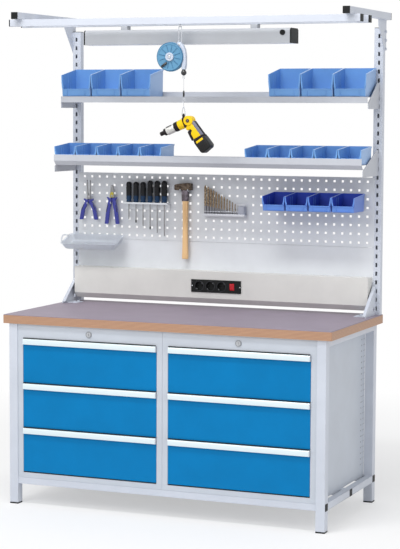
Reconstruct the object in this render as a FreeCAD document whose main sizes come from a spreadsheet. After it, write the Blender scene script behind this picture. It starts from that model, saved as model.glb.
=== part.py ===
import FreeCAD, Part

import os
import re

import Sketcher

# A workbench with two drawer cabinets, a rear structure of slotted uprights with panels,
# shelves and bins, and an overhead gantry with a lamp and a balancer that carries a power tool.
# Millimetres, +X right, +Y to the rear, +Z up. The origin is on the floor, below the middle
# of the worktop.

SIZES = {
    # worktop
    "top_wide": 1500,
    "top_deep": 700,
    "top_level": 830,
    "board_thick": 35,
    "board_round": 3,
    "covering_thick": 3,
    # how far a cutter reaches past the face that it opens
    "past": 1,
    # base frame of square tube
    "leg": 40,
    "leg_inset_side": 25,
    "leg_inset_front": 8,
    "rail": 30,
    "rail_level": 90,
    "tube_wall": 2,
    "foot_thick": 6,
    "foot_insert": 25,
    "insert_play": 0.3,
    "plug_head": 2,
    "plug_insert": 15,
    # cabinets
    "sheet": 2,
    "cabinet_play": 0.5,
    "cabinet_inset": 12,
    "stile": 25,
    "fold": 20,
    "top_strip": 64,
    "bottom_strip": 23,
    "column_level": 176,
    "column_pitch": 25,
    "column_rows": 23,
    "column_hole": 6,
    "column_rear": 47,
    "column_step": 24,
    # drawers
    "drawer_gap": 4,
    "front_play": 1.5,
    "front_deep": 18,
    "front_sheet": 1.5,
    "grip_high": 25,
    "grip_out": 11,
    "grip_thick": 2.5,
    "grip_bevel": 4,
    "box_play": 14.5,
    "box_gap": 40,
    "box_short": 45,
    "box_wall": 1.5,
    "box_rise": 8,
    "channel_rise": 40,
    "channel_high": 45,
    "channel_gap": 50,
    "channel_back": 4,
    "channel_play": 1.5,
    "slide_wide": 12.5,
    "slide_play": 0.5,
    # lock and locking bar
    "sleeve_radius": 14,
    "sleeve_body": 12,
    "sleeve_thick": 3,
    "sleeve_deep": 20,
    "rotor_radius": 10,
    "rotor_play": 0.3,
    "collar_gap": 1,
    "key_wide": 2,
    "key_high": 11,
    "key_deep": 6,
    "rod_radius": 4,
    "rod_play": 0.4,
    "hanger_margin": 4,
    "hanger_ahead": 30,
    "crank": 5.66,
    "crank_disc": 9,
    "crank_pin": 2,
    "crank_gap": 3,
    "pin_short": 0.5,
    "pin_play": 0.4,
    "bar_wide": 20,
    "bar_thick": 3,
    "bar_play": 0.5,
    "bar_head": 34,
    "bar_head_half": 8,
    "bar_tail": 20,
    "bar_lift": 8,
    "guide_rise": 20,
    "guide_high": 20,
    "hook_reach": 12,
    "hook_thick": 3,
    "hook_drop": 10,
    "hook_rise": 60,
    "hook_gap": 2,
    "hook_narrow": 2,
    # uprights and panels
    "post_wide": 40,
    "post_deep": 30,
    "post_inset": 34,
    "post_top_over": 1240,
    "slot_wide": 9,
    "slot_high": 18,
    "slot_pitch": 38,
    "slot_first_over": 28,
    "slot_count": 32,
    "slot_shift": 2,
    "panel_lap": 10,
    "panel_sheet": 1.5,
    "panel_fold": 12,
    "panel_low_over": 141,
    "panel_joint_over": 293,
    "panel_high_over": 597,
    "panel_seam": 1,
    "hole": 10,
    "hole_rise": 38,
    "hole_margin": 31,
    "hole_edge": 18,
    "holes_across": 37,
    "holes_up": 8,
    # energy duct and sockets
    "duct_lap": 3,
    "duct_front_ahead": 61,
    "duct_low_over": 20,
    "duct_high_over": 165,
    "duct_bevel": 24,
    "duct_wall": 2,
    "strip_half": 120,
    "strip_low_over": 71,
    "strip_high_over": 128,
    "strip_out": 4,
    "strip_rim": 3,
    "strip_deep": 30,
    "socket_radius": 20,
    "socket_deep": 16,
    "socket_first": -81,
    "socket_pitch": 53.5,
    "socket_pin": 2.4,
    "socket_pins": 19,
    "socket_pin_deep": 9,
    "rocker_x": 77,
    "rocker_wide": 22,
    "rocker_high": 30,
    "rocker_thick": 9,
    "rocker_play": 0.4,
    "rocker_swing": 1,
    "rocker_well": 12,
    "rocker_tilt": 8,
    "rocker_seat": 1.5,
    "pivot_radius": 1.5,
    "pivot_play": 0.3,
    # shelves and their end plates
    "shelf_inset": 23,
    "shelf_sheet": 2,
    "shelf_play": 2,
    "plate_thick": 3,
    "low_shelf_front_ahead": 229,
    "low_shelf_deck_over": 657,
    "low_shelf_lip": 26,
    "low_shelf_fold": 21,
    "low_fold_slope": 18,
    "low_fold_deep": 30,
    "high_shelf_front_ahead": 158,
    "high_shelf_deck_over": 945,
    "high_shelf_fold": 27,
    "high_fold_deep": 15,
    "shelf_rear": 22,
    "low_plate_inset": 12,
    "high_plate_inset": 6,
    "end_plate_low": 52,
    "end_plate_front": 26,
    "end_plate_rear": 112,
    "end_plate_top": 24,
    "plate_hook_first": 16,
    "plate_hook_out": 4,
    "plate_hook_play": 2,
    # brackets of the uprights
    "cheek_reach": 150,
    "cheek_rise": 125,
    "cheek_edge": 8,
    "cheek_foot": 62,
    "cheek_fold": 14,
    "window_in": 26,
    "window_radius": 9,
    "slope_start": 1,
    "slope_thick": 3,
    "sole_start": 30,
    "sole_long": 65,
    "sole_bolt_in": 18,
    "sole_bolt_first": 45,
    "sole_bolt_pitch": 35,
    "bolt_radius": 6,
    "bolt_head": 5,
    "corner_front_ahead": 78,
    "corner_drop": 95,
    "corner_past": 13,
    "corner_foot": 22,
    "corner_thick": 4,
    "corner_bolt_first": 15,
    "corner_bolt_pitch": 37,
    # gantry
    "tube": 30,
    "arm_past_post": 25,
    "arm_front_ahead": 541,
    "arm_back": 29,
    "arm_rise": 35,
    "rail_past_arm": 30,
    "front_rail_y_ahead": 486,
    "rear_rail_y_ahead": 376,
    "rail_slot": 8,
    "cap_thick": 5,
    # lamp
    "lamp_half": 472,
    "lamp_front_ahead": 426,
    "lamp_rear_ahead": 336,
    "lamp_high_under": 18,
    "lamp_low_under": 81,
    "lamp_wall": 1.5,
    "lamp_bevel": 8,
    "lamp_cap": 6,
    "diffuser_thick": 3,
    "diffuser_play": 0.1,
    "lamp_clip_x": 300,
    "lamp_clip_wide": 30,
    "lamp_clip_past": 3,
    "button_x": 440,
    "button_z_under": 37,
    "button_radius": 11,
    "button_play": 0.4,
    "button_out": 5,
    "button_in": 8,
    # balancer with its cord and fittings
    "trolley_x": 3.5,
    "trolley_half": 20,
    "trolley_high": 12,
    "trolley_play": 0.3,
    "trolley_side": 1,
    "neck": 6,
    "shackle_wire": 2,
    "shackle_half": 7,
    "shackle_low_under": 79,
    "shackle_high_under": 11,
    "reel_x": -38,
    "reel_z_under": 136.5,
    "reel_radius": 60,
    "reel_thick": 30,
    "reel_rim": 2,
    "reel_rim_wide": 6,
    "ear_half": 3,
    "eye_play": 0.9,
    "hub_radius": 18,
    "hub_out": 6,
    "guide_half": 8,
    "guide_low_under": 190,
    "guide_up": 20,
    "ball_z_under": 203,
    "ball_radius": 12,
    "ball_neck": 8,
    "cord_x": 21,
    "cord_radius": 1,
    "clip_low_under": 303,
    "clip_high_under": 280,
    "clip_radius": 4,
    "carabiner_low_under": 387,
    "carabiner_high_under": 349,
    "carabiner_half": 8,
    "carabiner_wire": 2,
    # power tool, hinged between its drive and its handle
    "hinge_past_cord": 26.7,
    "hinge_z_under": 404.6,
    "hinge_radius": 21,
    "hinge_half": 22,
    "drive_tilt": 23.8,
    "drive_start": 14,
    "drive_radius": 21,
    "gear_radius": 20,
    "drive_long": 56,
    "barrel_radius": 18.5,
    "barrel_long": 42,
    "collar_radius": 15,
    "collar_long": 12,
    "nose_radius": 9,
    "nose_long": 20,
    "bit_radius": 3.2,
    "bit_deep": 12,
    "spindle_radius": 5,
    "bearing_play": 0.3,
    "grip_tilt": 51,
    "handle_wide": 37,
    "handle_long": 82,
    "handle_half": 17,
    "battery_long": 68,
    "battery_wide": 55,
    "battery_shift": 8,
    "battery_half": 25,
    "battery_slope": 6,
    "hanger_root": 20,
    "trigger_start": 30,
    "trigger_long": 45,
    "trigger_deep": 24,
    "trigger_half": 7,
    "trigger_in": 4,
    "trigger_travel": 6,
    "trigger_play": 0.4,
    # bins
    "bin_wall": 2,
    "bin_gap": 1.5,
    "bin_margin": 1,
    "bin_clear": 0.5,
    "large_wide": 147,
    "large_deep": 148,
    "large_high": 122,
    "large_lip": 31,
    "large_slope": 28,
    "large_margin": 7,
    "large_inset": 2,
    "small_wide": 104.5,
    "small_deep": 150,
    "small_high": 75,
    "small_lip": 24,
    "small_slope": 14,
    "small_margin": 2.5,
    "hung_shift": 14,
    "hung_low_below": 147,
    "hung_play": 6,
    "hung_hook_half": 6,
    "hung_hook_high": 12,
    "hung_hook_drop": 2,
    "hung_hook_play": 0.2,
    # tools on the perforated panel
    "pin_radius": 2.5,
    "pin_out": 19,
    "pin_tip": 8,
    "pin_plate": 2,
    "tool_y_ahead": 24,
    "tool_play": 0.5,
    "plier_thick": 12,
    "rivet_radius": 6,
    "lever_wide": 17,
    "lever_inner": 1,
    "lever_outer": 12,
    "bow_out": 0.7,
    "bow_up": 0.53,
    "fork_drop": 26,
    "jaw_root": 13,
    "jaw_shoulder": 14,
    "jaw_tip": 3,
    "jaw_drop": 16,
    "jaw_rise": 8,
    "cutting_across": 63,
    "cutting_low_below": 217,
    "cutting_high_below": 34,
    "cutting_rise": 102.5,
    "cutting_spread": 46,
    "cutting_seat": 3.7,
    "gripping_across": 182,
    "gripping_low_below": 234,
    "gripping_high_below": 55,
    "gripping_rise": 129,
    "gripping_spread": 36,
    "gripping_seat": 9,
    "driver_across": 267,
    "driver_pitch": 35.5,
    "driver_handle_below": 31,
    "driver_handle_long": 100,
    "driver_radius": 13,
    "driver_crown": 12.5,
    "driver_blade": 3,
    "driver_longest_below": 283,
    "driver_step": 14.5,
    "rack_high": 8,
    "rack_half": 110,
    "rack_front": 5,
    "hammer_x": -167,
    "hammer_left": 49.6,
    "hammer_right": 30.4,
    "hammer_thick": 30,
    "hammer_low_below": 383,
    "hammer_under_below": 72,
    "hammer_face": 30,
    "hammer_taper": 4,
    "hammer_crown": 2,
    "sleeve_wide": 31,
    "sleeve_across": 24,
    "sleeve_long": 49,
    "shaft_wide": 27,
    "shaft_thick": 20,
    "shaft_past": 2,
    "stand_left": -80,
    "stand_right": 123,
    "stand_low_below": 185,
    "stand_high": 11,
    "stand_deep": 34,
    "stand_back": 60,
    "case_wide": 30,
    "case_high": 36,
    "case_inset": 4,
    "drill_count": 13,
    "drill_first": 8,
    "drill_row": 158,
    "drill_sink": 5,
    "drill_long": 133,
    "drill_short": 45,
    "drill_thick": 6,
    "drill_thin": 1.7,
    "tray_past": 57,
    "tray_long": 300,
    "tray_stand_off": 13,
    "tray_deep": 112,
    "tray_high": 34,
    "tray_wall": 2,
    "tray_level_below": 315,
    "tray_tilt": 20,
    "tray_arm_half": 4,
    "tray_arm_long": 18,
    "tray_arm_high": 20,
    "tray_arm_rise": 6,
}

# Sizes that follow from others, so that pieces that meet stay together
DERIVED = {
    "cabinet_deep": "(top_deep - cabinet_inset - leg_inset_front - leg)",
    "box_deep": "(cabinet_deep - box_gap)",
    "channel_deep": "(cabinet_deep - channel_gap)",
    "board_low": "(top_level - covering_thick - board_thick)",
    "drawer_pitch": "((board_low - top_strip - rail_level - rail - bottom_strip) / 3)",
    "box_high": "(drawer_pitch - box_short)",
    "lock_level": "(board_low - top_strip / 2)",
    "post_front": "(top_deep / 2 - post_inset)",
    "shelf_half": "(top_wide / 2 - shelf_inset)",
    "post_out": "(shelf_half + post_wide / 2 - slot_shift)",
    "panel_half": "(post_out - post_wide + panel_lap)",
    "hole_pitch": "(2 * (panel_half - hole_margin) / (holes_across - 1))",
    "duct_half": "(post_out - post_wide + duct_lap)",
    "arm_low": "(post_top + arm_rise)",
    "arm_out": "(post_out + arm_past_post)",
    "arm_rear": "(post_front + arm_back)",
    "gantry_rail_half": "(arm_out + rail_past_arm)",
    "hinge_x": "(cord_x + hinge_past_cord)",
    "large_left": "(bin_margin - shelf_half)",
    "large_right": "(shelf_half - large_margin - 3 * large_wide - 2 * bin_gap)",
    "small_left": "(bin_margin - shelf_half)",
    "small_right": "(shelf_half - small_margin - 5 * small_wide - 4 * bin_gap)",
    "hung_left": "(7 * hole_pitch - hung_shift)",
    "cutting_x": "(cutting_across - panel_half)",
    "gripping_x": "(gripping_across - panel_half)",
    "driver_first": "(driver_across - panel_half)",
    "tray_left": "(0 - panel_half - tray_past)",
    "tray_right": "(tray_left + tray_long)",
}

# A size's ending says what it is measured from
MEASURED_FROM = {
    "_over": "top_level + ",
    "_below": "panel_high - ",
    "_under": "arm_low - tube - ",
    "_ahead": "post_front - ",
}
for ending, start in MEASURED_FROM.items():
    for word in [word for word in SIZES if word.endswith(ending)]:
        DERIVED[word.removesuffix(ending)] = f"({start}{word})"

doc = FreeCAD.newDocument("Workbench")
sheet = doc.addObject("Spreadsheet::Sheet", "Sizes")
for row, (alias, number) in enumerate(SIZES.items(), start=1):
    sheet.set(f"A{row}", alias)
    sheet.set(f"B{row}", str(number))
    sheet.setAlias(f"B{row}", alias)
doc.recompute()

ORIGIN = FreeCAD.Vector(0, 0, 0)
ALONG_X = FreeCAD.Vector(1, 0, 0)
ALONG_Y = FreeCAD.Vector(0, 1, 0)
ALONG_Z = FreeCAD.Vector(0, 0, 1)
SIDES = {"left": -1, "right": 1}
nodes = []


# Helpers: sizes are written as text with the names above


def bound(text):
    """The text with derived sizes written out, and each size's name led by the sheet's name."""
    text = str(text)
    while any(word in DERIVED for word in re.findall(r"[a-z][a-z_]+", text)):
        text = re.sub(r"[a-z][a-z_]+", lambda word: DERIVED.get(word[0], word[0]), text)
    return re.sub(r"[a-z][a-z_]+", lambda word: "Sizes." + word[0] if word[0] in SIZES else word[0], text)


def size(text):
    """The number that a text gives."""
    return float(sheet.evalExpression(bound(text)))


def tie(thing, **texts):
    """Bind properties of a document object to sizes."""
    for prop, text in texts.items():
        thing.setExpression(prop.replace("__", "."), bound(text))


def place(thing, x="0", y="0", z="0", turn=None, angle="0"):
    """Bind an object's place, and its turn about one axis."""
    if turn is not None:
        thing.Placement = FreeCAD.Placement(ORIGIN, FreeCAD.Rotation(turn, size(angle)))
        tie(thing, Placement__Rotation__Angle=angle)
    tie(thing, Placement__Base__x=x, Placement__Base__y=y, Placement__Base__z=z)
    return thing


def block(name, x, y, z):
    """A box between two places along each axis."""
    thing = doc.addObject("Part::Box", name)
    tie(thing, Length=f"({x[1]}) - ({x[0]})", Width=f"({y[1]}) - ({y[0]})", Height=f"({z[1]}) - ({z[0]})")
    return place(thing, x[0], y[0], z[0])


def rod(name, start, radius, length, along="z"):
    """A cylinder from a start point along an axis."""
    thing = doc.addObject("Part::Cylinder", name)
    tie(thing, Radius=radius, Height=length)
    turns = {"x": (ALONG_Y, "90"), "y": (FreeCAD.Vector(-1, 0, 0), "90"), "z": (None, "0")}
    return place(thing, *start, *turns[along])


def ball(name, centre, radius):
    """A sphere."""
    thing = doc.addObject("Part::Sphere", name)
    tie(thing, Radius=radius)
    return place(thing, *centre)


def fuse(name, *parts):
    """One solid of several."""
    thing = doc.addObject("Part::MultiFuse", name)
    thing.Shapes = list(parts)
    thing.Refine = True
    return thing


def cut(name, base, *tools):
    """A solid with others taken away."""
    thing = doc.addObject("Part::Cut", name)
    thing.Base = base
    thing.Tool = tools[0] if len(tools) == 1 else fuse(name + "_tools", *tools)
    thing.Refine = True
    return thing


def group(name, *parts):
    """Equal pieces of one sub-part, kept as separate solids."""
    thing = doc.addObject("Part::Compound", name)
    thing.Links = list(parts)
    return thing


def mirrored(name, source):
    """The same piece on the other side of the middle."""
    thing = doc.addObject("Part::Mirroring", name)
    thing.Source = source
    thing.Normal = (1, 0, 0)
    thing.Base = (0, 0, 0)
    return thing


def span(sign, near, far):
    """A range on one side of the middle, lower end first."""
    return (near, far) if sign > 0 else (f"-({far})", f"-({near})")


def about(centre, half):
    """A range about a centre."""
    return (f"({centre}) - ({half})", f"({centre}) + ({half})")


def outline(body, name, plane, points, offset):
    """A closed sketch through points, on a plane moved along its normal."""
    sketch = body.newObject("Sketcher::SketchObject", name)
    flat = [feature for feature in body.Origin.OriginFeatures if feature.Role == plane + "_Plane"]
    sketch.AttachmentSupport = (flat[0], [""])
    sketch.MapMode = "FlatFace"
    tie(sketch, AttachmentOffset__Base__z=offset)
    corners = [FreeCAD.Vector(size(across), size(up), 0) for across, up in points]
    count = len(corners)
    for index in range(count):
        sketch.addGeometry(Part.LineSegment(corners[index], corners[(index + 1) % count]), False)
    for index in range(count):
        sketch.addConstraint(Sketcher.Constraint("Coincident", index, 2, (index + 1) % count, 1))
    for index, (across, up) in enumerate(points):
        corner = corners[index]
        for kind, text, number in (("DistanceX", across, corner.x), ("DistanceY", up, corner.y)):
            key = sketch.addConstraint(Sketcher.Constraint(kind, -1, 1, index, 1, number))
            sketch.setExpression(f"Constraints[{key}]", bound(text))
    return sketch


def prism(name, plane, points, start, length):
    """A body with one padded outline: along +Z for XY, +X for YZ and -Y for XZ."""
    body = doc.addObject("PartDesign::Body", name)
    sketch = outline(body, name + "_outline", plane, points, start)
    pad = body.newObject("PartDesign::Pad", name + "_pad")
    pad.Profile = sketch
    tie(pad, Length=length)
    return body


def rectangle(x, y):
    """The corners of an upright rectangle."""
    return [(x[0], y[0]), (x[1], y[0]), (x[1], y[1]), (x[0], y[1])]


def node(label, thing):
    """Name a finished sub-part."""
    thing.Label = label
    nodes.append(thing)
    return thing


# Places that several pieces share
LEG_OUT = "(top_wide / 2 - leg_inset_side)"
LEG_IN = "(top_wide / 2 - leg_inset_side - leg)"
LEG_FRONT = "(leg_inset_front - top_deep / 2)"
LEG_BACK = "(leg_inset_front - top_deep / 2 + leg)"
BOARD_LOW = "board_low"
RAIL_TOP = "(rail_level + rail)"
CABINET_MID = f"({LEG_IN} / 2)"
CABINET_HALF = f"({LEG_IN} / 2 - cabinet_play)"
CABINET_FRONT = "(cabinet_inset - top_deep / 2)"
CABINET_REAR = "(cabinet_inset - top_deep / 2 + cabinet_deep)"
OPENING_HALF = f"({LEG_IN} / 2 - cabinet_play - stile)"
OPENING_TOP = f"({BOARD_LOW} - top_strip)"
FRONT_REAR = "(cabinet_inset - top_deep / 2 + front_deep)"
BOX_HALF = f"({OPENING_HALF} - box_play)"
BOX_REAR = "(cabinet_inset - top_deep / 2 + front_deep + box_deep)"
BAR_REAR = f"({CABINET_REAR} - sheet - bar_play)"
BAR_FRONT = f"({CABINET_REAR} - sheet - bar_play - bar_thick)"
PANEL_FACE = "(post_front - panel_sheet)"
PLIERS = ("cutting", "gripping")
DRIVERS = 6
RAIL_LOW = "(arm_low - tube)"


def worktop():
    """A plywood board with a thin covering."""
    across = ("-top_wide / 2", "top_wide / 2")
    along = ("-top_deep / 2", "top_deep / 2")
    board = prism("board", "XY", rectangle(across, along), BOARD_LOW, "board_thick")
    doc.recompute()
    pad = board.Tip
    upright = [f"Edge{index}" for index, edge in enumerate(pad.Shape.Edges, start=1)
               if abs(edge.tangentAt(edge.FirstParameter).z) > 0.5]
    rounding = board.newObject("PartDesign::Fillet", "board_corners")
    rounding.Base = (pad, upright)
    tie(rounding, Radius="board_round")
    node("worktop_board", board)
    inner = ("-top_wide / 2 + board_round / 3", "top_wide / 2 - board_round / 3")
    inner_along = ("-top_deep / 2 + board_round / 3", "top_deep / 2 - board_round / 3")
    covering = prism("covering", "XY", rectangle(inner, inner_along), "top_level - covering_thick",
                     "covering_thick")
    node("worktop_covering", covering)


def base_frame():
    """Four tube legs on rails, open at the rail ends and at the feet."""
    solid = []
    hollow = []
    for sign_x in (-1, 1):
        for sign_y in (-1, 1):
            corner = f"{sign_x}_{sign_y}".replace("-", "m")
            x = span(sign_x, LEG_IN, LEG_OUT)
            y = span(sign_y, f"-{LEG_BACK}", f"-{LEG_FRONT}")
            solid.append(block("leg_" + corner, x, y, ("foot_thick", BOARD_LOW)))
            x = span(sign_x, f"{LEG_IN} + tube_wall", f"{LEG_OUT} - tube_wall")
            y = span(sign_y, f"-{LEG_BACK} + tube_wall", f"-{LEG_FRONT} - tube_wall")
            z = ("foot_thick - past", f"{BOARD_LOW} - tube_wall")
            hollow.append(block("leg_bore_" + corner, x, y, z))
        for level, low in (("low", "rail_level"), ("high", f"{BOARD_LOW} - rail")):
            x = span(sign_x, f"{LEG_OUT} - rail", LEG_OUT)
            name = f"side_rail_{level}_{sign_x}".replace("-", "m")
            solid.append(block(name, x, (LEG_BACK, f"-{LEG_BACK}"), (low, f"{low} + rail")))
            x = span(sign_x, f"{LEG_OUT} - rail + tube_wall", f"{LEG_OUT} - tube_wall")
            z = (f"{low} + tube_wall", f"{low} + rail - tube_wall")
            hollow.append(block(name + "_bore", x, (LEG_BACK, f"-{LEG_BACK}"), z))
    for index, centre in enumerate((f"{LEG_FRONT} + leg / 2", "0", f"-{LEG_FRONT} - leg / 2")):
        z = ("rail_level", "rail_level + rail")
        solid.append(block(f"rail_{index}", (f"-{LEG_OUT}", LEG_OUT), about(centre, "rail / 2"), z))
        z = ("rail_level + tube_wall", "rail_level + rail - tube_wall")
        y = about(centre, "rail / 2 - tube_wall")
        hollow.append(block(f"rail_{index}_bore", (f"-{LEG_OUT} - past", f"{LEG_OUT} + past"), y, z))
    y = about(f"-{LEG_FRONT} - leg / 2", "rail / 2")
    solid.append(block("rear_rail", (f"-{LEG_IN}", LEG_IN), y, (f"{BOARD_LOW} - rail", BOARD_LOW)))
    node("base_frame", cut("base", fuse("base_solid", *solid), *hollow))


def plug(name, axis, mouth, sign, middle, tube_size, head):
    """A cap on a tube's end: a head outside and an insert inside."""
    inner = f"({tube_size}) / 2 - tube_wall - insert_play"
    outer = f"({tube_size}) / 2"
    ranges = []
    for half, near, far in ((inner, "-plug_insert", "0"), (outer, "0", head)):
        depth = (f"{mouth} + {near}", f"{mouth} + {far}")
        if sign < 0:
            depth = (f"{mouth} - ({far})", f"{mouth} - ({near})")
        sides = [about(middle[0], half), about(middle[1], half)]
        ranges.append({"x": (depth, *sides), "y": (sides[0], depth, sides[1]), "z": (*sides, depth)}[axis])
    return fuse(name, block(name + "_in", *ranges[0]), block(name + "_head", *ranges[1]))


def end_caps():
    """Dark caps of the base rails, the posts, the gantry and the lamp."""
    caps = []
    for sign, word in ((-1, "left"), (1, "right")):
        for index, centre in enumerate((f"{LEG_FRONT} + leg / 2", "0", f"-{LEG_FRONT} - leg / 2")):
            mouth = f"{sign} * {LEG_OUT}"
            middle = (centre, "rail_level + rail / 2")
            caps.append(plug(f"cap_{word}_{index}", "x", mouth, sign, middle, "rail", "plug_head"))
        for index, centre in enumerate(("front_rail_y", "rear_rail_y")):
            mouth = f"{sign} * gantry_rail_half"
            middle = (centre, f"{RAIL_LOW} + tube / 2")
            caps.append(plug(f"rail_cap_{word}_{index}", "x", mouth, sign, middle, "tube", "cap_thick"))
        for place_y, end in (("arm_front", -1), ("arm_rear", 1)):
            middle = (f"{sign} * (arm_out - tube / 2)", "arm_low + tube / 2")
            name = f"arm_cap_{word}_{place_y}"
            caps.append(plug(name, "y", place_y, end, middle, "tube", "cap_thick"))
        x = about(f"{sign} * (post_out - post_wide / 2)", "post_wide / 2")
        y = ("post_front", "post_front + post_deep")
        head = block(f"post_cap_{word}", x, y, ("post_top", "post_top + cap_thick / 2"))
        x = about(f"{sign} * (post_out - post_wide / 2)", "post_wide / 2 - tube_wall - insert_play")
        y = ("post_front + tube_wall + insert_play", "post_front + post_deep - tube_wall - insert_play")
        insert = block(f"post_cap_in_{word}", x, y, ("post_top - plug_insert / 2", "post_top"))
        caps.append(fuse(f"post_cap_whole_{word}", head, insert))
        start = "lamp_half" if sign > 0 else "-lamp_half - lamp_cap"
        caps.append(prism(f"lamp_cap_{word}", "YZ", lamp_profile("0"), start, "lamp_cap"))
    node("end_caps", group("caps", *caps))


def feet():
    """Pads under the legs, with an insert in each tube."""
    pads = []
    for sign_x in (-1, 1):
        for sign_y in (-1, 1):
            corner = f"{sign_x}_{sign_y}".replace("-", "m")
            x = span(sign_x, LEG_IN, LEG_OUT)
            y = span(sign_y, f"-{LEG_BACK}", f"-{LEG_FRONT}")
            pad = block("pad_" + corner, x, y, ("0", "foot_thick"))
            grip = "tube_wall + insert_play"
            x = span(sign_x, f"{LEG_IN} + {grip}", f"{LEG_OUT} - ({grip})")
            y = span(sign_y, f"-{LEG_BACK} + {grip}", f"-{LEG_FRONT} - ({grip})")
            pads.append(fuse("foot_" + corner, pad, block("shank_" + corner, x, y,
                                                          ("foot_thick", "foot_thick + foot_insert"))))
    node("leveling_feet", group("feet", *pads))


# Columns of side holes in steps ahead of the rear one, and the odd hole of each sixth row
HOLE_COLUMNS = (0, 1, 1.7)
ODD_COLUMN = 0.4
ODD_ROW = 6
SMALL_HOLE = 0.7


def side_holes(side, sign):
    """Columns of small holes in the outer side of a cabinet, as one set of cutters."""
    radius = size("column_hole") / 2
    x = size(f"{LEG_IN} - cabinet_play - 2 * sheet") * sign
    across = FreeCAD.Vector(sign, 0, 0)
    rear = size(CABINET_REAR)
    cutters = []
    for row in range(int(size("column_rows"))):
        z = size("column_level") + row * size("column_pitch")
        steps = list(HOLE_COLUMNS)
        if row % ODD_ROW == ODD_ROW - 1:
            steps.append(ODD_COLUMN)
        for step in steps:
            y = rear - size("column_rear") + step * size("column_step")
            small = radius if step == 0 else SMALL_HOLE * radius
            cutters.append(Part.makeCylinder(small, 3 * size("sheet"), FreeCAD.Vector(x, y, z), across))
    holes = doc.addObject("Part::Feature", side + "_side_holes")
    holes.Shape = Part.makeCompound(cutters)
    return holes


def drawer_top(level):
    """The upper edge of a drawer's front, 0 being the top drawer."""
    return f"({OPENING_TOP} - {level} * drawer_pitch)"


def hook_level(level):
    """The underside of a drawer's rear hook."""
    return f"({drawer_top(level)} - drawer_pitch + drawer_gap + box_rise + hook_rise)"


def housing(side, sign, mid):
    """A folded sheet cabinet with its front strips, rod hanger and bar guides."""
    z = (RAIL_TOP, BOARD_LOW)
    shell = block(side + "_shell", about(mid, CABINET_HALF), (CABINET_FRONT, CABINET_REAR), z)
    x = about(mid, f"{CABINET_HALF} - sheet")
    y = (f"{CABINET_FRONT} + sheet", f"{CABINET_REAR} - sheet")
    room = block(side + "_room", x, y, (f"{RAIL_TOP} + sheet", f"{BOARD_LOW} - sheet"))
    doorway = block(side + "_doorway", about(mid, OPENING_HALF),
                    (f"{CABINET_FRONT} - past", f"{CABINET_FRONT} + sheet + past"),
                    (f"{RAIL_TOP} + bottom_strip", OPENING_TOP))
    lock_hole = rod(side + "_lock_hole", (mid, f"{CABINET_FRONT} - past", "lock_level"), "sleeve_body",
                    "sheet + 2 * past", "y")
    hollow = cut(side + "_hollow", shell, room, doorway, lock_hole, side_holes(side, sign))
    parts = [hollow]
    fold_y = (f"{CABINET_FRONT} + sheet", f"{CABINET_FRONT} + fold")
    for sign_x in (-1, 1):
        name = f"{side}_fold_{sign_x}".replace("-", "m")
        edge = f"{mid} + {sign_x} * ({OPENING_HALF} + sheet / 2)"
        parts.append(block(name, about(edge, "sheet / 2"), fold_y,
                           (f"{RAIL_TOP} + sheet", f"{BOARD_LOW} - sheet")))
    parts.append(block(side + "_fold_top", about(mid, OPENING_HALF), fold_y,
                       (OPENING_TOP, f"{OPENING_TOP} + sheet")))
    parts.append(block(side + "_fold_low", about(mid, OPENING_HALF), fold_y,
                       (f"{RAIL_TOP} + bottom_strip - sheet", f"{RAIL_TOP} + bottom_strip")))
    hanger = block(side + "_hanger", about(mid, "2 * rod_radius + hanger_margin"),
                   (f"{BAR_FRONT} - hanger_ahead", f"{BAR_FRONT} - hanger_ahead + sheet"),
                   ("lock_level - 2 * rod_radius", f"{BOARD_LOW} - sheet"))
    bore = rod(side + "_hanger_bore", (mid, f"{BAR_FRONT} - hanger_ahead - past", "lock_level"),
               "rod_radius + rod_play", "sheet + 2 * past", "y")
    parts.append(cut(side + "_hanger_holed", hanger, bore))
    for level in (0, 2):
        low = f"{hook_level(level)} + guide_rise"
        yoke = block(f"{side}_guide_{level}", about(mid, "bar_wide / 2 + bar_play + sheet"),
                     (f"{BAR_FRONT} - bar_play - sheet", f"{CABINET_REAR} - sheet"),
                     (low, f"{low} + guide_high"))
        gap = block(f"{side}_guide_gap_{level}", about(mid, "bar_wide / 2 + bar_play"),
                    (f"{BAR_FRONT} - bar_play", f"{CABINET_REAR} - sheet"),
                    (f"{low} - past", f"{low} + guide_high + past"))
        parts.append(cut(f"{side}_guide_open_{level}", yoke, gap))
    node(side + "_cabinet_housing", fuse(side + "_housing", *parts))


def runners(side, mid, level):
    """Two channels on the cabinet's walls that carry a drawer."""
    low = f"{drawer_top(level)} - drawer_pitch + drawer_gap + box_rise + channel_rise"
    channels = []
    for sign in (-1, 1):
        name = f"{side}_channel_{level}_{sign}".replace("-", "m")
        inner = f"{BOX_HALF} + channel_play"
        outer = f"{CABINET_HALF} - sheet"
        near, far = span(sign, inner, outer)
        start = f"{CABINET_FRONT} + fold + channel_back"
        y = (start, f"{start} + channel_deep")
        whole = block(name, (f"{mid} + {near}", f"{mid} + {far}"), y, (low, f"{low} + channel_high"))
        near, far = span(sign, f"{inner} - past", f"{outer} - sheet")
        y = (f"{start} - past", f"{start} + channel_deep + past")
        room = block(name + "_room", (f"{mid} + {near}", f"{mid} + {far}"), y,
                     (f"{low} + sheet", f"{low} + channel_high - sheet"))
        channels.append(cut(name + "_open", whole, room))
    return channels


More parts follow.
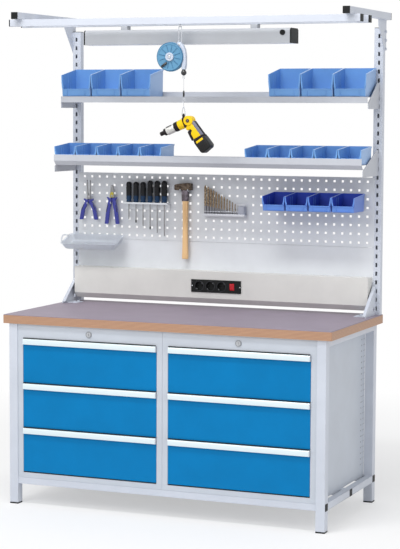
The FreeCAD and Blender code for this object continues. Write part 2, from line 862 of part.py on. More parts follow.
def drawer(side, mid, level, word):
    """A box on two slides, with a folded front and a grip rail."""
    top = drawer_top(level)
    low = f"{top} - drawer_pitch + drawer_gap"
    box_low = f"{low} + box_rise"
    name = f"{side}_{word}"
    tray = block(name + "_tray", about(mid, BOX_HALF), (FRONT_REAR, BOX_REAR),
                 (box_low, f"{box_low} + box_high"))
    room = block(name + "_room", about(mid, f"{BOX_HALF} - box_wall"),
                 (f"{FRONT_REAR} + box_wall", f"{BOX_REAR} - box_wall"),
                 (f"{box_low} + box_wall", f"{box_low} + box_high + past"))
    parts = [cut(name + "_open", tray, room)]
    rail_low = f"{box_low} + channel_rise + sheet + slide_play"
    rail_high = f"{box_low} + channel_rise + channel_high - sheet - slide_play"
    for sign in (-1, 1):
        slide = f"{name}_slide_{sign}".replace("-", "m")
        near, far = span(sign, BOX_HALF, f"{BOX_HALF} + slide_wide")
        bar = block(slide, (f"{mid} + {near}", f"{mid} + {far}"), (FRONT_REAR, BOX_REAR),
                    (rail_low, rail_high))
        near, far = span(sign, f"{BOX_HALF}", f"{BOX_HALF} + slide_wide - sheet")
        hollow = block(slide + "_hollow", (f"{mid} + {near}", f"{mid} + {far}"),
                       (f"{FRONT_REAR} + sheet", f"{BOX_REAR} - sheet"),
                       (f"{rail_low} + sheet", f"{rail_high} - sheet"))
        parts.append(cut(slide + "_tube", bar, hollow))
    hook = hook_level(level)
    hook_x = about(mid, "bar_wide / 2 - hook_narrow")
    hook_arm = block(name + "_hook", hook_x, (BOX_REAR, f"{BOX_REAR} + hook_reach"),
                     (hook, f"{hook} + hook_thick"))
    hook_lip = block(name + "_hook_lip", hook_x,
                     (f"{BOX_REAR} + hook_reach - hook_thick", f"{BOX_REAR} + hook_reach"),
                     (f"{hook} - hook_drop", hook))
    box_set = group(name + "_box_set", fuse(name + "_box", *parts), hook_arm, hook_lip)
    node(f"{side}_{word}_drawer_box", box_set)
    front_half = f"{OPENING_HALF} - front_play"
    front_high = f"{top} - grip_high"
    pan = block(name + "_pan", about(mid, front_half), (CABINET_FRONT, FRONT_REAR), (low, front_high))
    well = block(name + "_well", about(mid, f"{front_half} - front_sheet"),
                 (f"{CABINET_FRONT} + front_sheet", f"{FRONT_REAR} + past"),
                 (f"{low} + front_sheet", f"{front_high} - front_sheet"))
    node(f"{side}_{word}_drawer_front", cut(name + "_front", pan, well))
    tip = f"{CABINET_FRONT} - grip_out"
    profile = [
        (tip, front_high),
        (f"{tip} + grip_thick", front_high),
        (f"{tip} + grip_thick", f"{top} - grip_bevel"),
        (f"{tip} + grip_bevel", f"{top} - grip_thick"),
        (CABINET_FRONT, f"{top} - grip_thick"),
        (CABINET_FRONT, front_high),
        (f"{CABINET_FRONT} + grip_thick", front_high),
        (f"{CABINET_FRONT} + grip_thick", f"{top} - grip_thick"),
        (FRONT_REAR, f"{top} - grip_thick"),
        (FRONT_REAR, top),
        (f"{tip} + 0.75 * grip_bevel", top),
        (tip, f"{top} - 0.75 * grip_bevel"),
    ]
    grip = prism(name + "_grip", "YZ", profile, f"{mid} - ({front_half})", f"2 * ({front_half})")
    node(f"{side}_{word}_drawer_grip", grip)


def lock(side, mid):
    """A key rotor with a rod to the rear, where a crank pin lifts the locking bar."""
    face = f"{CABINET_FRONT} - sleeve_thick"
    inner_end = f"{CABINET_FRONT} + sleeve_deep"
    rotor = rod(side + "_rotor", (mid, face, "lock_level"), "rotor_radius",
                "sleeve_thick + sleeve_deep + collar_gap + past", "y")
    slot = block(side + "_key_slot", about(mid, "key_wide / 2"), (f"{face} - past", f"{face} + key_deep"),
                 about("lock_level", "key_high / 2"))
    head = cut(side + "_rotor_slotted", rotor, slot)
    collar = rod(side + "_collar", (mid, f"{inner_end} + collar_gap", "lock_level"), "sleeve_body",
                 "sheet", "y")
    disc_front = f"{BAR_FRONT} - crank_gap - bar_thick"
    shaft = rod(side + "_shaft", (mid, inner_end, "lock_level"), "rod_radius",
                f"{disc_front} - ({inner_end})", "y")
    disc = rod(side + "_disc", (mid, disc_front, "lock_level"), "crank_disc", "bar_thick", "y")
    spot = (f"{mid} + crank * cos(45 deg)", f"{BAR_FRONT} - crank_gap", "lock_level - crank * sin(45 deg)")
    pin = rod(side + "_pin", spot, "crank_pin", "crank_gap + bar_thick - pin_short", "y")
    node(side + "_lock_cylinder", fuse(side + "_lock", head, collar, shaft, disc, pin))


def sleeve(side, mid):
    """The lock's fixed sleeve in the top strip."""
    flange = rod(side + "_flange", (mid, f"{CABINET_FRONT} - sleeve_thick", "lock_level"), "sleeve_radius",
                 "sleeve_thick", "y")
    neck = rod(side + "_sleeve", (mid, CABINET_FRONT, "lock_level"), "sleeve_body",
               "sleeve_deep", "y")
    bore = rod(side + "_sleeve_bore", (mid, f"{CABINET_FRONT} - sleeve_thick - past", "lock_level"),
               "rotor_radius + rotor_play", "sleeve_thick + sleeve_deep + 2 * past", "y")
    return cut(side + "_sleeve_open", fuse(side + "_sleeve_solid", flange, neck), bore)


def locking_bar(side, mid):
    """A lifting strip with a slot for the crank pin and a lug for each drawer."""
    pin_z = "lock_level - crank * sin(45 deg)"
    y = (BAR_FRONT, BAR_REAR)
    low = f"{hook_level(2)} - hook_drop - bar_lift - bar_tail"
    head_low = f"{pin_z} - bar_head_half"
    strip = block(side + "_strip", about(mid, "bar_wide / 2"), y, (low, head_low))
    head = block(side + "_head", about(mid, "bar_head / 2"), y, (head_low, f"{pin_z} + bar_head_half"))
    parts = []
    for level in range(3):
        lip_top = f"{hook_level(level)} - hook_drop - hook_gap"
        lip_low = f"{lip_top} - hook_drop"
        lug_y = f"{BOX_REAR} + hook_reach - 2 * hook_thick - hook_gap"
        x = about(mid, "bar_wide / 2")
        z = (f"{lip_low} - hook_thick", lip_low)
        parts.append(block(f"{side}_lug_{level}", x, (lug_y, BAR_FRONT), z))
        parts.append(block(f"{side}_lip_{level}", x, (lug_y, f"{lug_y} + hook_thick"), (lip_low, lip_top)))
    reach = "crank_pin + pin_play"
    slot_x = (f"{mid} + crank * cos(45 deg) - {reach.replace('+', '-')} - past / 2",
              f"{mid} + crank + {reach} + past / 2")
    slot = block(side + "_pin_slot", slot_x, (f"{BAR_FRONT} - past", f"{BAR_REAR} + past"),
                 about(pin_z, reach))
    bar = cut(side + "_bar", fuse(side + "_bar_solid", strip, head), slot)
    node(side + "_locking_bar", group(side + "_bar_set", bar, *parts))


def cabinets():
    """Both cabinets with their drawers and locks."""
    channels = []
    sleeves = []
    for side, sign in SIDES.items():
        mid = f"{sign} * {CABINET_MID}"
        housing(side, sign, mid)
        for level, word in enumerate(("top", "middle", "bottom")):
            channels += runners(side, mid, level)
            drawer(side, mid, level, word)
        sleeves.append(sleeve(side, mid))
        lock(side, mid)
        locking_bar(side, mid)
    node("cabinet_runners", group("runners", *channels))
    node("lock_sleeves", group("sleeves", *sleeves))


def uprights():
    """Two slotted tube posts."""
    x = ("post_out - post_wide", "post_out")
    y = ("post_front", "post_front + post_deep")
    post = prism("post", "XY", rectangle(x, y), "top_level", "post_top - top_level")
    x = ("post_out - post_wide + tube_wall", "post_out - tube_wall")
    y = ("post_front + tube_wall", "post_front + post_deep - tube_wall")
    bore_sketch = outline(post, "post_bore_outline", "XY", rectangle(x, y), "top_level")
    bore = post.newObject("PartDesign::Pocket", "post_bore")
    bore.Profile = bore_sketch
    bore.Reversed = True
    tie(bore, Length="post_top - top_level")
    centre = "post_out - post_wide / 2 + slot_shift"
    slot_sketch = outline(post, "slot_outline", "XZ", rectangle(
        about(centre, "slot_wide / 2"), about("slot_first", "slot_high / 2")), "past - post_front")
    slot = post.newObject("PartDesign::Pocket", "post_slot")
    slot.Profile = slot_sketch
    tie(slot, Length="tube_wall + 2 * past")
    pattern = post.newObject("PartDesign::LinearPattern", "post_slots")
    pattern.Originals = [slot]
    pattern.Direction = ([f for f in post.Origin.OriginFeatures if f.Role == "Z_Axis"][0], [""])
    tie(pattern, Length="(slot_count - 1) * slot_pitch", Occurrences="slot_count")
    post.Tip = pattern
    doc.recompute()
    whole = size("(post_wide * post_deep - (post_wide - 2 * tube_wall) * (post_deep - 2 * tube_wall))"
                 " * (post_top - top_level)")
    cut_away = size("slot_count * slot_wide * slot_high * tube_wall")
    print("post volume", round(post.Shape.Volume), "expected", round(whole - cut_away))
    node("uprights", group("posts", post, mirrored("post_left", post)))


def brackets():
    """Gussets at the foot of each upright and corner plates at its top, with their bolts."""
    foot = "top_level"
    front = "post_front - cheek_reach"
    top = f"{foot} + cheek_rise"
    inner = "post_front - cheek_edge"
    cheek_points = [(front, foot), ("post_front", foot), ("post_front", top), (inner, top),
                    (front, f"{foot} + cheek_edge")]
    cheek = prism("cheek", "YZ", cheek_points, "shelf_half - plate_thick", "plate_thick")
    spot = ("shelf_half - 2 * plate_thick", "post_front - window_in", f"{foot} + window_in")
    window = rod("cheek_window", spot, "window_radius", "3 * plate_thick", "x")
    start = f"{front} + slope_start"
    slope_points = [(start, f"{foot} + cheek_edge"), (f"{start} + slope_thick", f"{foot} + cheek_edge"),
                    (f"{inner} + slope_thick", top), (inner, top)]
    slope = prism("cheek_slope", "YZ", slope_points, "shelf_half - cheek_fold", "cheek_fold")
    sole = block("cheek_sole", ("shelf_half - cheek_foot", "shelf_half - plate_thick"),
                 (f"{front} + sole_start", f"{front} + sole_start + sole_long"),
                 (foot, f"{foot} + plate_thick"))
    parts = [cut("gusset", fuse("gusset_solid", cheek, slope, sole), window)]
    for index in (0, 1):
        spot = ("shelf_half - cheek_foot + sole_bolt_in",
                f"{front} + sole_bolt_first + {index} * sole_bolt_pitch", f"{foot} + plate_thick")
        parts.append(rod(f"sole_bolt_{index}", spot, "bolt_radius", "bolt_head"))
    rear = "post_front + post_deep"
    low = "post_top - corner_drop"
    corner_points = [(f"{rear} - corner_foot", low), (rear, low), (rear, "arm_low"),
                     ("corner_front", "arm_low"), ("corner_front", "post_top + corner_past")]
    parts.append(prism("corner", "YZ", corner_points, "post_out", "corner_thick"))
    for index in range(3):
        spot = ("post_out + corner_thick", f"{rear} - corner_foot / 2",
                f"post_top - corner_bolt_first - {index} * corner_bolt_pitch")
        parts.append(rod(f"corner_bolt_{index}", spot, "bolt_radius", "bolt_head", "x"))
    right = group("right_brackets", *parts)
    node("upright_brackets", group("brackets", right, mirrored("left_brackets", right)))


def duct_profile(inset):
    """The duct's section, with a bevel along its lower front edge."""
    front = f"duct_front + {inset}"
    low = f"duct_low + {inset}"
    bevel = f"duct_bevel - 0.4 * ({inset})"
    rear = f"{PANEL_FACE} - {inset}"
    high = f"duct_high - ({inset})"
    return [(front, f"{low} + {bevel}"), (f"{front} + {bevel}", low), (rear, low), (rear, high),
            (front, high)]


def energy_duct():
    """A closed sheet duct with an opening for the socket strip."""
    outer = prism("duct", "YZ", duct_profile("0"), "-duct_half", "2 * duct_half")
    inner = prism("duct_room", "YZ", duct_profile("duct_wall"), "-duct_half + duct_wall",
                  "2 * (duct_half - duct_wall)")
    mouth = block("duct_mouth", about("0", "strip_half - strip_rim + insert_play"),
                  ("duct_front - past", "duct_front + duct_wall + past"),
                  ("strip_low + strip_rim - insert_play", "strip_high - strip_rim + insert_play"))
    node("energy_duct", cut("duct_open", outer, inner, mouth))
    face = "duct_front - strip_out"
    middle = "(strip_low + strip_high) / 2"
    rim = block("strip_rim_plate", about("0", "strip_half"), (face, "duct_front"),
                ("strip_low", "strip_high"))
    body = block("strip_body", about("0", "strip_half - strip_rim"), ("duct_front", f"{face} + strip_deep"),
                 ("strip_low + strip_rim", "strip_high - strip_rim"))
    tools = []
    for index in range(3):
        x = f"socket_first + {index} * socket_pitch"
        tools.append(rod(f"socket_{index}", (x, f"{face} - past", middle), "socket_radius",
                         "socket_deep + past", "y"))
        for sign in (-1, 1):
            hole_x = f"{x} + {sign} * socket_pins / 2"
            name = f"pin_hole_{index}_{sign}".replace("-", "m")
            tools.append(rod(name, (hole_x, f"{face} + socket_deep - past", middle), "socket_pin",
                             "socket_pin_deep + past", "y"))
    well = block("rocker_well_room", about("rocker_x", "rocker_wide / 2 + rocker_play"),
                 (f"{face} - past", f"{face} + rocker_well"),
                 about(middle, "rocker_high / 2 + rocker_play + rocker_swing"))
    pivot_y = f"{face} + rocker_thick / 2 - rocker_seat"
    pivot = rod("rocker_pivot", ("rocker_x - rocker_wide / 2 - rocker_play - past", pivot_y, middle),
                "pivot_radius", "rocker_wide + 2 * rocker_play + 2 * past", "x")
    open_strip = cut("strip_open", fuse("strip_solid", rim, body), well, *tools)
    node("socket_strip", fuse("strip", open_strip, pivot))
    body = block("rocker_body", about("0", "rocker_wide / 2"), about("0", "rocker_thick / 2"),
                 about("0", "rocker_high / 2"))
    bore = rod("rocker_bore", ("-rocker_wide / 2 - past", "0", "0"), "pivot_radius + pivot_play",
               "rocker_wide + 2 * past", "x")
    rocker = cut("rocker", body, bore)
    node("power_switch", place(rocker, "rocker_x", pivot_y, middle, ALONG_X, "rocker_tilt"))


def holed_panel():
    """A perforated sheet with folded upper and lower edges."""
    half = size("panel_half")
    low = size("panel_joint + panel_seam / 2")
    high = size("panel_high")
    thick = size("panel_sheet")
    hole = size("hole")
    pitch = size("hole_pitch")
    rise = size("hole_rise")
    corners = [(-half, low), (half, low), (half, high), (-half, high)]
    rear = size("post_front")

    def loop(points):
        path = [FreeCAD.Vector(across, rear, up) for across, up in points]
        return Part.makePolygon(path + path[:1])

    loops = [loop(corners)]
    columns = int(size("holes_across"))
    for column in range(columns):
        x = (column - (columns - 1) / 2) * pitch
        for row in range(int(size("holes_up"))):
            z = high - size("hole_edge") - row * rise
            ring = [(x + a * hole / 2, z + b * hole / 2) for a, b in ((-1, -1), (1, -1), (1, 1), (-1, 1))]
            loops.append(loop(ring))
    face = Part.Face(loops, "Part::FaceMakerBullseye")
    sheet_part = doc.addObject("Part::Feature", "holed_sheet")
    sheet_part.Shape = face.extrude(FreeCAD.Vector(0, -thick, 0))
    across = about("0", "panel_half - 3 * panel_lap")
    deep = ("post_front", "post_front + panel_fold")
    folds = [block("holed_fold_high", across, deep, ("panel_high - panel_sheet", "panel_high")),
             block("holed_fold_low", across, deep, ("panel_joint + panel_seam / 2",
                                                    "panel_joint + panel_seam / 2 + panel_sheet"))]
    node("perforated_panel", fuse("holed", sheet_part, *folds))


def plain_panel():
    """The closed sheet below the perforated one."""
    high = "panel_joint - panel_seam / 2"
    face = block("plain_sheet", about("0", "panel_half"), (PANEL_FACE, "post_front"), ("panel_low", high))
    across = about("0", "panel_half - 3 * panel_lap")
    deep = ("post_front", "post_front + panel_fold")
    upper = block("plain_fold_high", across, deep, (f"{high} - panel_sheet", high))
    lower = block("plain_fold_low", across, deep, ("panel_low", "panel_low + panel_sheet"))
    node("plain_panel", fuse("plain", face, upper, lower))


def shelves():
    """Two folded shelves and the plates that hang them in the uprights' slots."""
    across = about("0", "shelf_half")
    deck = "low_shelf_deck"
    front = "low_shelf_front"
    fold_low = f"{deck} - low_shelf_fold"
    thick = "shelf_sheet"
    rear = ("post_front - shelf_play - shelf_sheet", "post_front - shelf_play")
    low_parts = [
        block("low_deck", across, (front, "post_front - shelf_play"), (f"{deck} - {thick}", deck)),
        block("low_lip", across, (front, f"{front} + {thick}"),
              (f"{deck} - {thick}", f"{deck} + low_shelf_lip")),
        prism("low_fold", "YZ", [
            (front, f"{deck} - {thick}"),
            (f"{front} + low_fold_slope", fold_low),
            (f"{front} + low_fold_deep", fold_low),
            (f"{front} + low_fold_deep", f"{fold_low} + {thick}"),
            (f"{front} + low_fold_slope + {thick} / 2", f"{fold_low} + {thick}"),
            (f"{front} + 1.5 * {thick}", f"{deck} - {thick}")], "-shelf_half", "2 * shelf_half"),
        block("low_rear", across, rear, (deck, f"{deck} + shelf_rear")),
    ]
    deck = "high_shelf_deck"
    front = "high_shelf_front"
    high_parts = [
        block("high_deck", across, (front, "post_front - shelf_play"), (f"{deck} - {thick}", deck)),
        block("high_fold", across, (front, f"{front} + {thick}"),
              (f"{deck} - high_shelf_fold", deck)),
        block("high_fold_in", across, (front, f"{front} + high_fold_deep"),
              (f"{deck} - high_shelf_fold", f"{deck} - high_shelf_fold + {thick}")),
        block("high_rear", across, rear, (deck, f"{deck} + shelf_rear")),
    ]
    node("shelves", group("both_shelves", fuse("low_shelf", *low_parts), fuse("high_shelf", *high_parts)))
    plates = []
    for word in ("low", "high"):
        front = f"{word}_shelf_front + {word}_plate_inset"
        low = f"{word}_shelf_deck - end_plate_low"
        points = [(front, low), ("post_front", low), ("post_front", f"{low} + end_plate_rear"),
                  ("post_front - end_plate_top", f"{low} + end_plate_rear"),
                  (front, f"{low} + end_plate_front")]
        plate = prism(f"{word}_end_plate", "YZ", points, "shelf_half", "plate_thick")
        hooks = []
        for step in (0, 1):
            count = f"round(({low} + plate_hook_first - slot_first) / slot_pitch) + {1 + step}"
            slot = f"slot_first + slot_pitch * ({count})"
            hooks.append(block(f"{word}_hook_{step}", ("shelf_half", "shelf_half + plate_thick"),
                               ("post_front", "post_front + tube_wall + plate_hook_out"),
                               about(slot, "slot_high / 2 - plate_hook_play")))
        plates.append(fuse(f"{word}_bracket", plate, *hooks))
    right = group("right_end_plates", *plates)
    node("shelf_brackets", group("end_plates", right, mirrored("left_end_plates", right)))


def gantry():
    """Two tube arms on the corner plates, and two rails hanging below them."""
    arms = []
    for side, sign in SIDES.items():
        x = span(sign, "arm_out - tube", "arm_out")
        whole = block(side + "_arm", x, ("arm_front", "arm_rear"), ("arm_low", "arm_low + tube"))
        x = span(sign, "arm_out - tube + tube_wall", "arm_out - tube_wall")
        bore = block(side + "_arm_bore", x, ("arm_front - past", "arm_rear + past"),
                     ("arm_low + tube_wall", "arm_low + tube - tube_wall"))
        arms.append(cut(side + "_arm_tube", whole, bore))
    node("gantry_arms", group("arms", *arms))
    rails = []
    for word, centre in (("front", "front_rail_y"), ("rear", "rear_rail_y")):
        whole = block(word + "_rail", about("0", "gantry_rail_half"), about(centre, "tube / 2"),
                      (RAIL_LOW, "arm_low"))
        room = block(word + "_rail_room", about("0", "gantry_rail_half + past"),
                     about(centre, "tube / 2 - tube_wall"),
                     (f"{RAIL_LOW} + tube_wall", "arm_low - tube_wall"))
        groove = block(word + "_rail_groove", about("0", "gantry_rail_half + past"),
                       about(centre, "rail_slot / 2"),
                       (f"{RAIL_LOW} - past", f"{RAIL_LOW} + tube_wall + past"))
        rails.append(cut(word + "_rail_open", whole, room, groove))
    node("gantry_rails", group("rails", *rails))


def lamp_profile(inset):
    """The lamp's section, open below, with bevelled upper edges."""
    front = f"lamp_front + {inset}"
    rear = f"lamp_rear - {inset}"
    high = f"lamp_high - ({inset})"
    bevel = f"lamp_bevel - 0.6 * ({inset})"
    return [(front, "lamp_low"), (rear, "lamp_low"), (rear, f"{high} - ({bevel})"),
            (f"{rear} - ({bevel})", high), (f"{front} + {bevel}", high), (front, f"{high} - ({bevel})")]


def lamp():
    """A long lamp on two clips, with a diffuser and a push button."""
    outer = prism("lamp_shell", "YZ", lamp_profile("0"), "-lamp_half", "2 * lamp_half")
    inner = prism("lamp_room", "YZ", lamp_profile("lamp_wall"), "-lamp_half - past",
                  "2 * (lamp_half + past)")
    button_hole = rod("button_hole", ("button_x", "lamp_front - past", "button_z"),
                      "button_radius + button_play", "lamp_wall + 2 * past", "y")
    hollow = cut("lamp_hollow", outer, inner, button_hole)
    clips = [block(f"lamp_clip_{word}", about(f"{sign} * lamp_clip_x", "lamp_clip_wide / 2"),
                   about("rear_rail_y", "tube / 2 + lamp_clip_past"), ("lamp_high", RAIL_LOW))
             for word, sign in SIDES.items()]
    node("lamp_housing", fuse("lamp", hollow, *clips))
    gap = "lamp_wall + diffuser_play"
    diffuser = block("diffuser", about("0", "lamp_half - insert_play"),
                     (f"lamp_front + {gap}", f"lamp_rear - ({gap})"),
                     ("lamp_low", "lamp_low + diffuser_thick"))
    node("lamp_diffuser", diffuser)
    head = rod("button_head", ("button_x", "lamp_front - button_out", "button_z"), "button_radius",
               "button_out + button_in", "y")
    node("lamp_button", head)


def loop_piece(name, x, y, low, high, half, wire):
    """An upright oval of wire: two straight sides joined by half circles."""
    radius = size(wire)
    width = size(half)
    bottom = size(low) + width
    top = size(high) - width
    centre_x = size(x)
    centre_y = size(y)

    def spot(dx, z):
        return FreeCAD.Vector(centre_x + dx, centre_y, z)

    edges = [
        Part.LineSegment(spot(-width, bottom), spot(-width, top)).toShape(),
        Part.Arc(spot(-width, top), spot(0, top + width), spot(width, top)).toShape(),
        Part.LineSegment(spot(width, top), spot(width, bottom)).toShape(),
        Part.Arc(spot(width, bottom), spot(0, bottom - width), spot(-width, bottom)).toShape(),
    ]
    section = Part.Wire(Part.makeCircle(radius, spot(-width, bottom), ALONG_Z))
    oval = doc.addObject("Part::Feature", name)
    oval.Shape = Part.Wire(edges).makePipeShell([section], True, False)
    return oval


def balancer():
    """A trolley in the front rail, a shackle, a spring reel and the pulled cord with its fittings."""
    low = f"{RAIL_LOW} + tube_wall + trolley_play"
    shoe = block("shoe", about("trolley_x", "trolley_half"),
                 about("front_rail_y", "tube / 2 - tube_wall - trolley_side"), (low, f"{low} + trolley_high"))
    neck = block("trolley_neck", about("trolley_x", "neck"), about("front_rail_y", "neck / 2"),
                 ("shackle_high - shackle_wire", low))
    shackle = loop_piece("shackle", "trolley_x", "front_rail_y", "shackle_low", "shackle_high",
                         "shackle_half", "shackle_wire")
    node("balancer_trolley", fuse("trolley", shoe, neck, shackle))
    reel_front = "front_rail_y - reel_thick / 2"
    reel = rod("reel", ("reel_x", reel_front, "reel_z"), "reel_radius", "reel_thick", "y")
    rim = rod("reel_rim", ("reel_x", "front_rail_y - reel_rim_wide / 2", "reel_z"), "reel_radius + reel_rim",
              "reel_rim_wide", "y")
    hub = rod("reel_hub", ("reel_x", f"{reel_front} - hub_out", "reel_z"), "hub_radius", "hub_out", "y")
    guide = block("cord_guide", about("cord_x", "guide_half"), about("front_rail_y", "guide_half"),
                  ("guide_low", "reel_z + guide_up"))
    ear = block("reel_ear", about("trolley_x", "ear_half"), about("front_rail_y", "4 * shackle_wire"),
                ("reel_z + reel_radius / 2", "shackle_low + 4 * shackle_wire"))
    eye = rod("reel_eye", ("trolley_x - 2 * ear_half", "front_rail_y", "shackle_low"),
              "shackle_wire + eye_play", "4 * ear_half", "x")
    node("balancer_housing", cut("reel_case", fuse("reel_solid", reel, rim, hub, guide, ear), eye))
    cord = [rod("cord_upper", ("cord_x", "front_rail_y", "clip_high"), "cord_radius",
                "ball_z - ball_radius - clip_high"),
            rod("cord_lower", ("cord_x", "front_rail_y", "carabiner_high + carabiner_wire"), "cord_radius",
                "clip_low - carabiner_high - carabiner_wire")]
    node("balancer_cord", group("cord", *cord))
    spot = ("cord_x", "front_rail_y", "ball_z")
    stopper = fuse("stopper", ball("stopper_ball", spot, "ball_radius"),
                   rod("stopper_neck", spot, "ball_neck", "guide_low - ball_z"))
    clip = rod("cord_clip", ("cord_x", "front_rail_y", "clip_low"), "clip_radius", "clip_high - clip_low")
    carabiner = loop_piece("carabiner", "cord_x", "front_rail_y", "carabiner_low", "carabiner_high",
                           "carabiner_half", "carabiner_wire")
    node("cord_fittings", group("fittings", stopper, clip, carabiner))


def power_tool():
    """A cordless angle screwdriver: drive and handle meet at a hinge, with a turning nose."""
    y = "front_rail_y"
    spot = ("hinge_x", y, "hinge_z")
    toward_drive = FreeCAD.Vector(0, -1, 0)
    gear_end = "-drive_start - drive_long"
    barrel_end = f"{gear_end} - barrel_long"
    drive_parts = [
        rod("drive_cover", ("-drive_start - drive_long / 2", "0", "0"), "drive_radius",
            "drive_start + drive_long / 2", "x"),
        rod("gear_case", (gear_end, "0", "0"), "gear_radius", "drive_long / 2 + past", "x"),
        rod("barrel", (barrel_end, "0", "0"), "barrel_radius", "barrel_long + past", "x"),
    ]
    bore = rod("barrel_bore", (f"{barrel_end} - past", "0", "0"), "spindle_radius + bearing_play",
               "barrel_long / 2 + past", "x")
    drive = cut("drive", fuse("drive_solid", *drive_parts), bore)
    place(drive, *spot, toward_drive, "drive_tilt")
    joint = rod("tool_hinge", ("hinge_x", f"{y} - hinge_half", "hinge_z"), "hinge_radius",
                "2 * hinge_half", "y")
    hanger = block("tool_hanger", about("cord_x", "ear_half"), about(y, "4 * carabiner_wire"),
                   ("hinge_z - hanger_root", "carabiner_low + 4 * carabiner_wire"))
    eye = rod("hanger_eye", ("cord_x - 2 * ear_half", y, "carabiner_low"), "carabiner_wire + eye_play",
              "4 * ear_half", "x")
    battery_front = "battery_shift - battery_wide / 2"
    battery_back = "battery_shift + battery_wide / 2"
    neck = "handle_long + battery_slope"
    foot = "handle_long + battery_long"
    handle_points = [("-handle_wide / 2", "0"), ("handle_wide / 2", "0"), ("handle_wide / 2", "handle_long"),
                     (battery_back, neck), (battery_back, foot), (battery_front, foot), (battery_front, neck),
                     ("-handle_wide / 2", "handle_long")]
    handle = prism("handle", "XZ", handle_points, "-handle_half", "2 * handle_half")
    battery = block("battery", (battery_front, battery_back), about("0", "battery_half"), (neck, foot))
    well = block("trigger_well", ("handle_wide / 2 - trigger_travel - trigger_in", "handle_wide / 2 + past"),
                 about("0", "trigger_half + trigger_play"),
                 ("trigger_start - trigger_play", "trigger_start + trigger_long + trigger_play"))
    handle_open = cut("handle_open", fuse("handle_solid", handle, battery), well)
    place(handle_open, *spot, ALONG_Y, "90 + grip_tilt")
    node("power_tool", fuse("tool", drive, joint, handle_open, cut("hanger", hanger, eye)))
    nose_start = f"{barrel_end} - bearing_play"
    nose_end = f"{nose_start} - collar_long - nose_long"
    chuck = fuse("chuck", rod("collar", (f"{nose_start} - collar_long", "0", "0"), "collar_radius",
                              "collar_long", "x"),
                 rod("nose", (nose_end, "0", "0"), "nose_radius", "nose_long + past", "x"),
                 rod("spindle", (f"{nose_start} - past", "0", "0"), "spindle_radius",
                     "barrel_long / 2 - past", "x"))
    bit = rod("bit_socket", (f"{nose_end} - past", "0", "0"), "bit_radius", "bit_deep + past", "x")
    node("power_tool_chuck", place(cut("chuck_open", chuck, bit), *spot, toward_drive, "drive_tilt"))
    inner = "handle_wide / 2 - trigger_in + trigger_play"
    middle = "handle_wide / 2 + trigger_deep / 2"
    end = "trigger_start + trigger_long"
    trigger_points = [(inner, "trigger_start"), (middle, "trigger_start"),
                      (f"{middle} + past", "trigger_start + trigger_long / 2"),
                      ("handle_wide / 2 + trigger_deep", end), (inner, end)]
    trigger = prism("trigger", "XZ", trigger_points, "-trigger_half", "2 * trigger_half")
    node("power_tool_trigger", place(trigger, *spot, ALONG_Y, "90 + grip_tilt"))


def storage_bin(name, x, front, z, kind, rear=None):
    """An open-fronted bin whose sides fall towards a low front lip."""
    wide, deep, high = (f"{kind}_wide", f"{kind}_deep", f"{kind}_high")
    back = rear or f"{front} + {deep}"
    front_top = f"{z} + {high} - {kind}_slope"
    outer = prism(name, "YZ", [(front, z), (back, z), (back, f"{z} + {high}"), (front, front_top)], x, wide)
    low = f"{z} + bin_wall"
    inner = prism(name + "_room", "YZ",
                  [(f"{front} + bin_wall", low), (f"{back} - bin_wall", low),
                   (f"{back} - bin_wall", f"{z} + {high} + past"),
                   (f"{front} + bin_wall", f"{z} + {high} + past")],
                  f"{x} + bin_wall", f"{wide} - 2 * bin_wall")
    mouth = block(name + "_mouth", (f"{x} + 3 * bin_wall", f"{x} + {wide} - 3 * bin_wall"),
                  (f"{front} - past", f"{front} + bin_wall + past"),
                  (f"{z} + {kind}_lip", f"{z} + {high} + past"))
    return cut(name + "_bin", outer, inner, mouth)


def bins():
    """Large bins on the upper shelf, small ones on the lower shelf and on the panel."""
    large = []
    small = []
    for word in ("left", "right"):
        for index in range(3):
            x = f"large_{word} + {index} * (large_wide + bin_gap)"
            front = "high_shelf_front + large_inset"
            large.append(storage_bin(f"large_{word}_{index}", x, front, "high_shelf_deck", "large"))
        for index in range(5):
            x = f"small_{word} + {index} * (small_wide + bin_gap)"
            front = "low_shelf_front + shelf_sheet + bin_clear"
            small.append(storage_bin(f"small_{word}_{index}", x, front, "low_shelf_deck", "small"))
    back = f"{PANEL_FACE} - hung_play"
    hook_top = "hung_low + small_high - hung_hook_drop"
    for index in range(4):
        x = f"hung_left + {index} * (small_wide + bin_gap)"
        parts = [storage_bin(f"hung_{index}", x, f"{back} - small_deep", "hung_low", "small", back)]
        for side, quarter in (("a", 1), ("b", 3)):
            middle = f"{x} + small_wide * {quarter} / 4"
            parts.append(block(f"hung_{index}_hook_{side}", about(middle, "hung_hook_half"),
                               (back, f"{PANEL_FACE} - hung_hook_play"),
                               (f"{hook_top} - hung_hook_high", hook_top)))
        small.append(fuse(f"hung_{index}_whole", *parts))
    node("large_bins", group("large_set", *large))
    node("small_bins", group("small_set", *small))


def pin(name, x, z):
    """A panel pin: a rod from the sheet with a raised tip."""
    front = "tool_y - pin_out"
    shaft = rod(name, (x, front, z), "pin_radius", f"{PANEL_FACE} - ({front})", "y")
    tip = rod(name + "_tip", (x, front, z), "pin_radius", "pin_tip")
    plate = block(name + "_plate", about(x, "2 * pin_radius"), (f"{PANEL_FACE} - pin_plate", PANEL_FACE),
                  about(z, "3 * pin_radius"))
    return fuse(name + "_whole", shaft, tip, plate)


def panel_x(column):
    """The place of a column of panel holes, counted from the middle."""
    return f"{column} * hole_pitch"


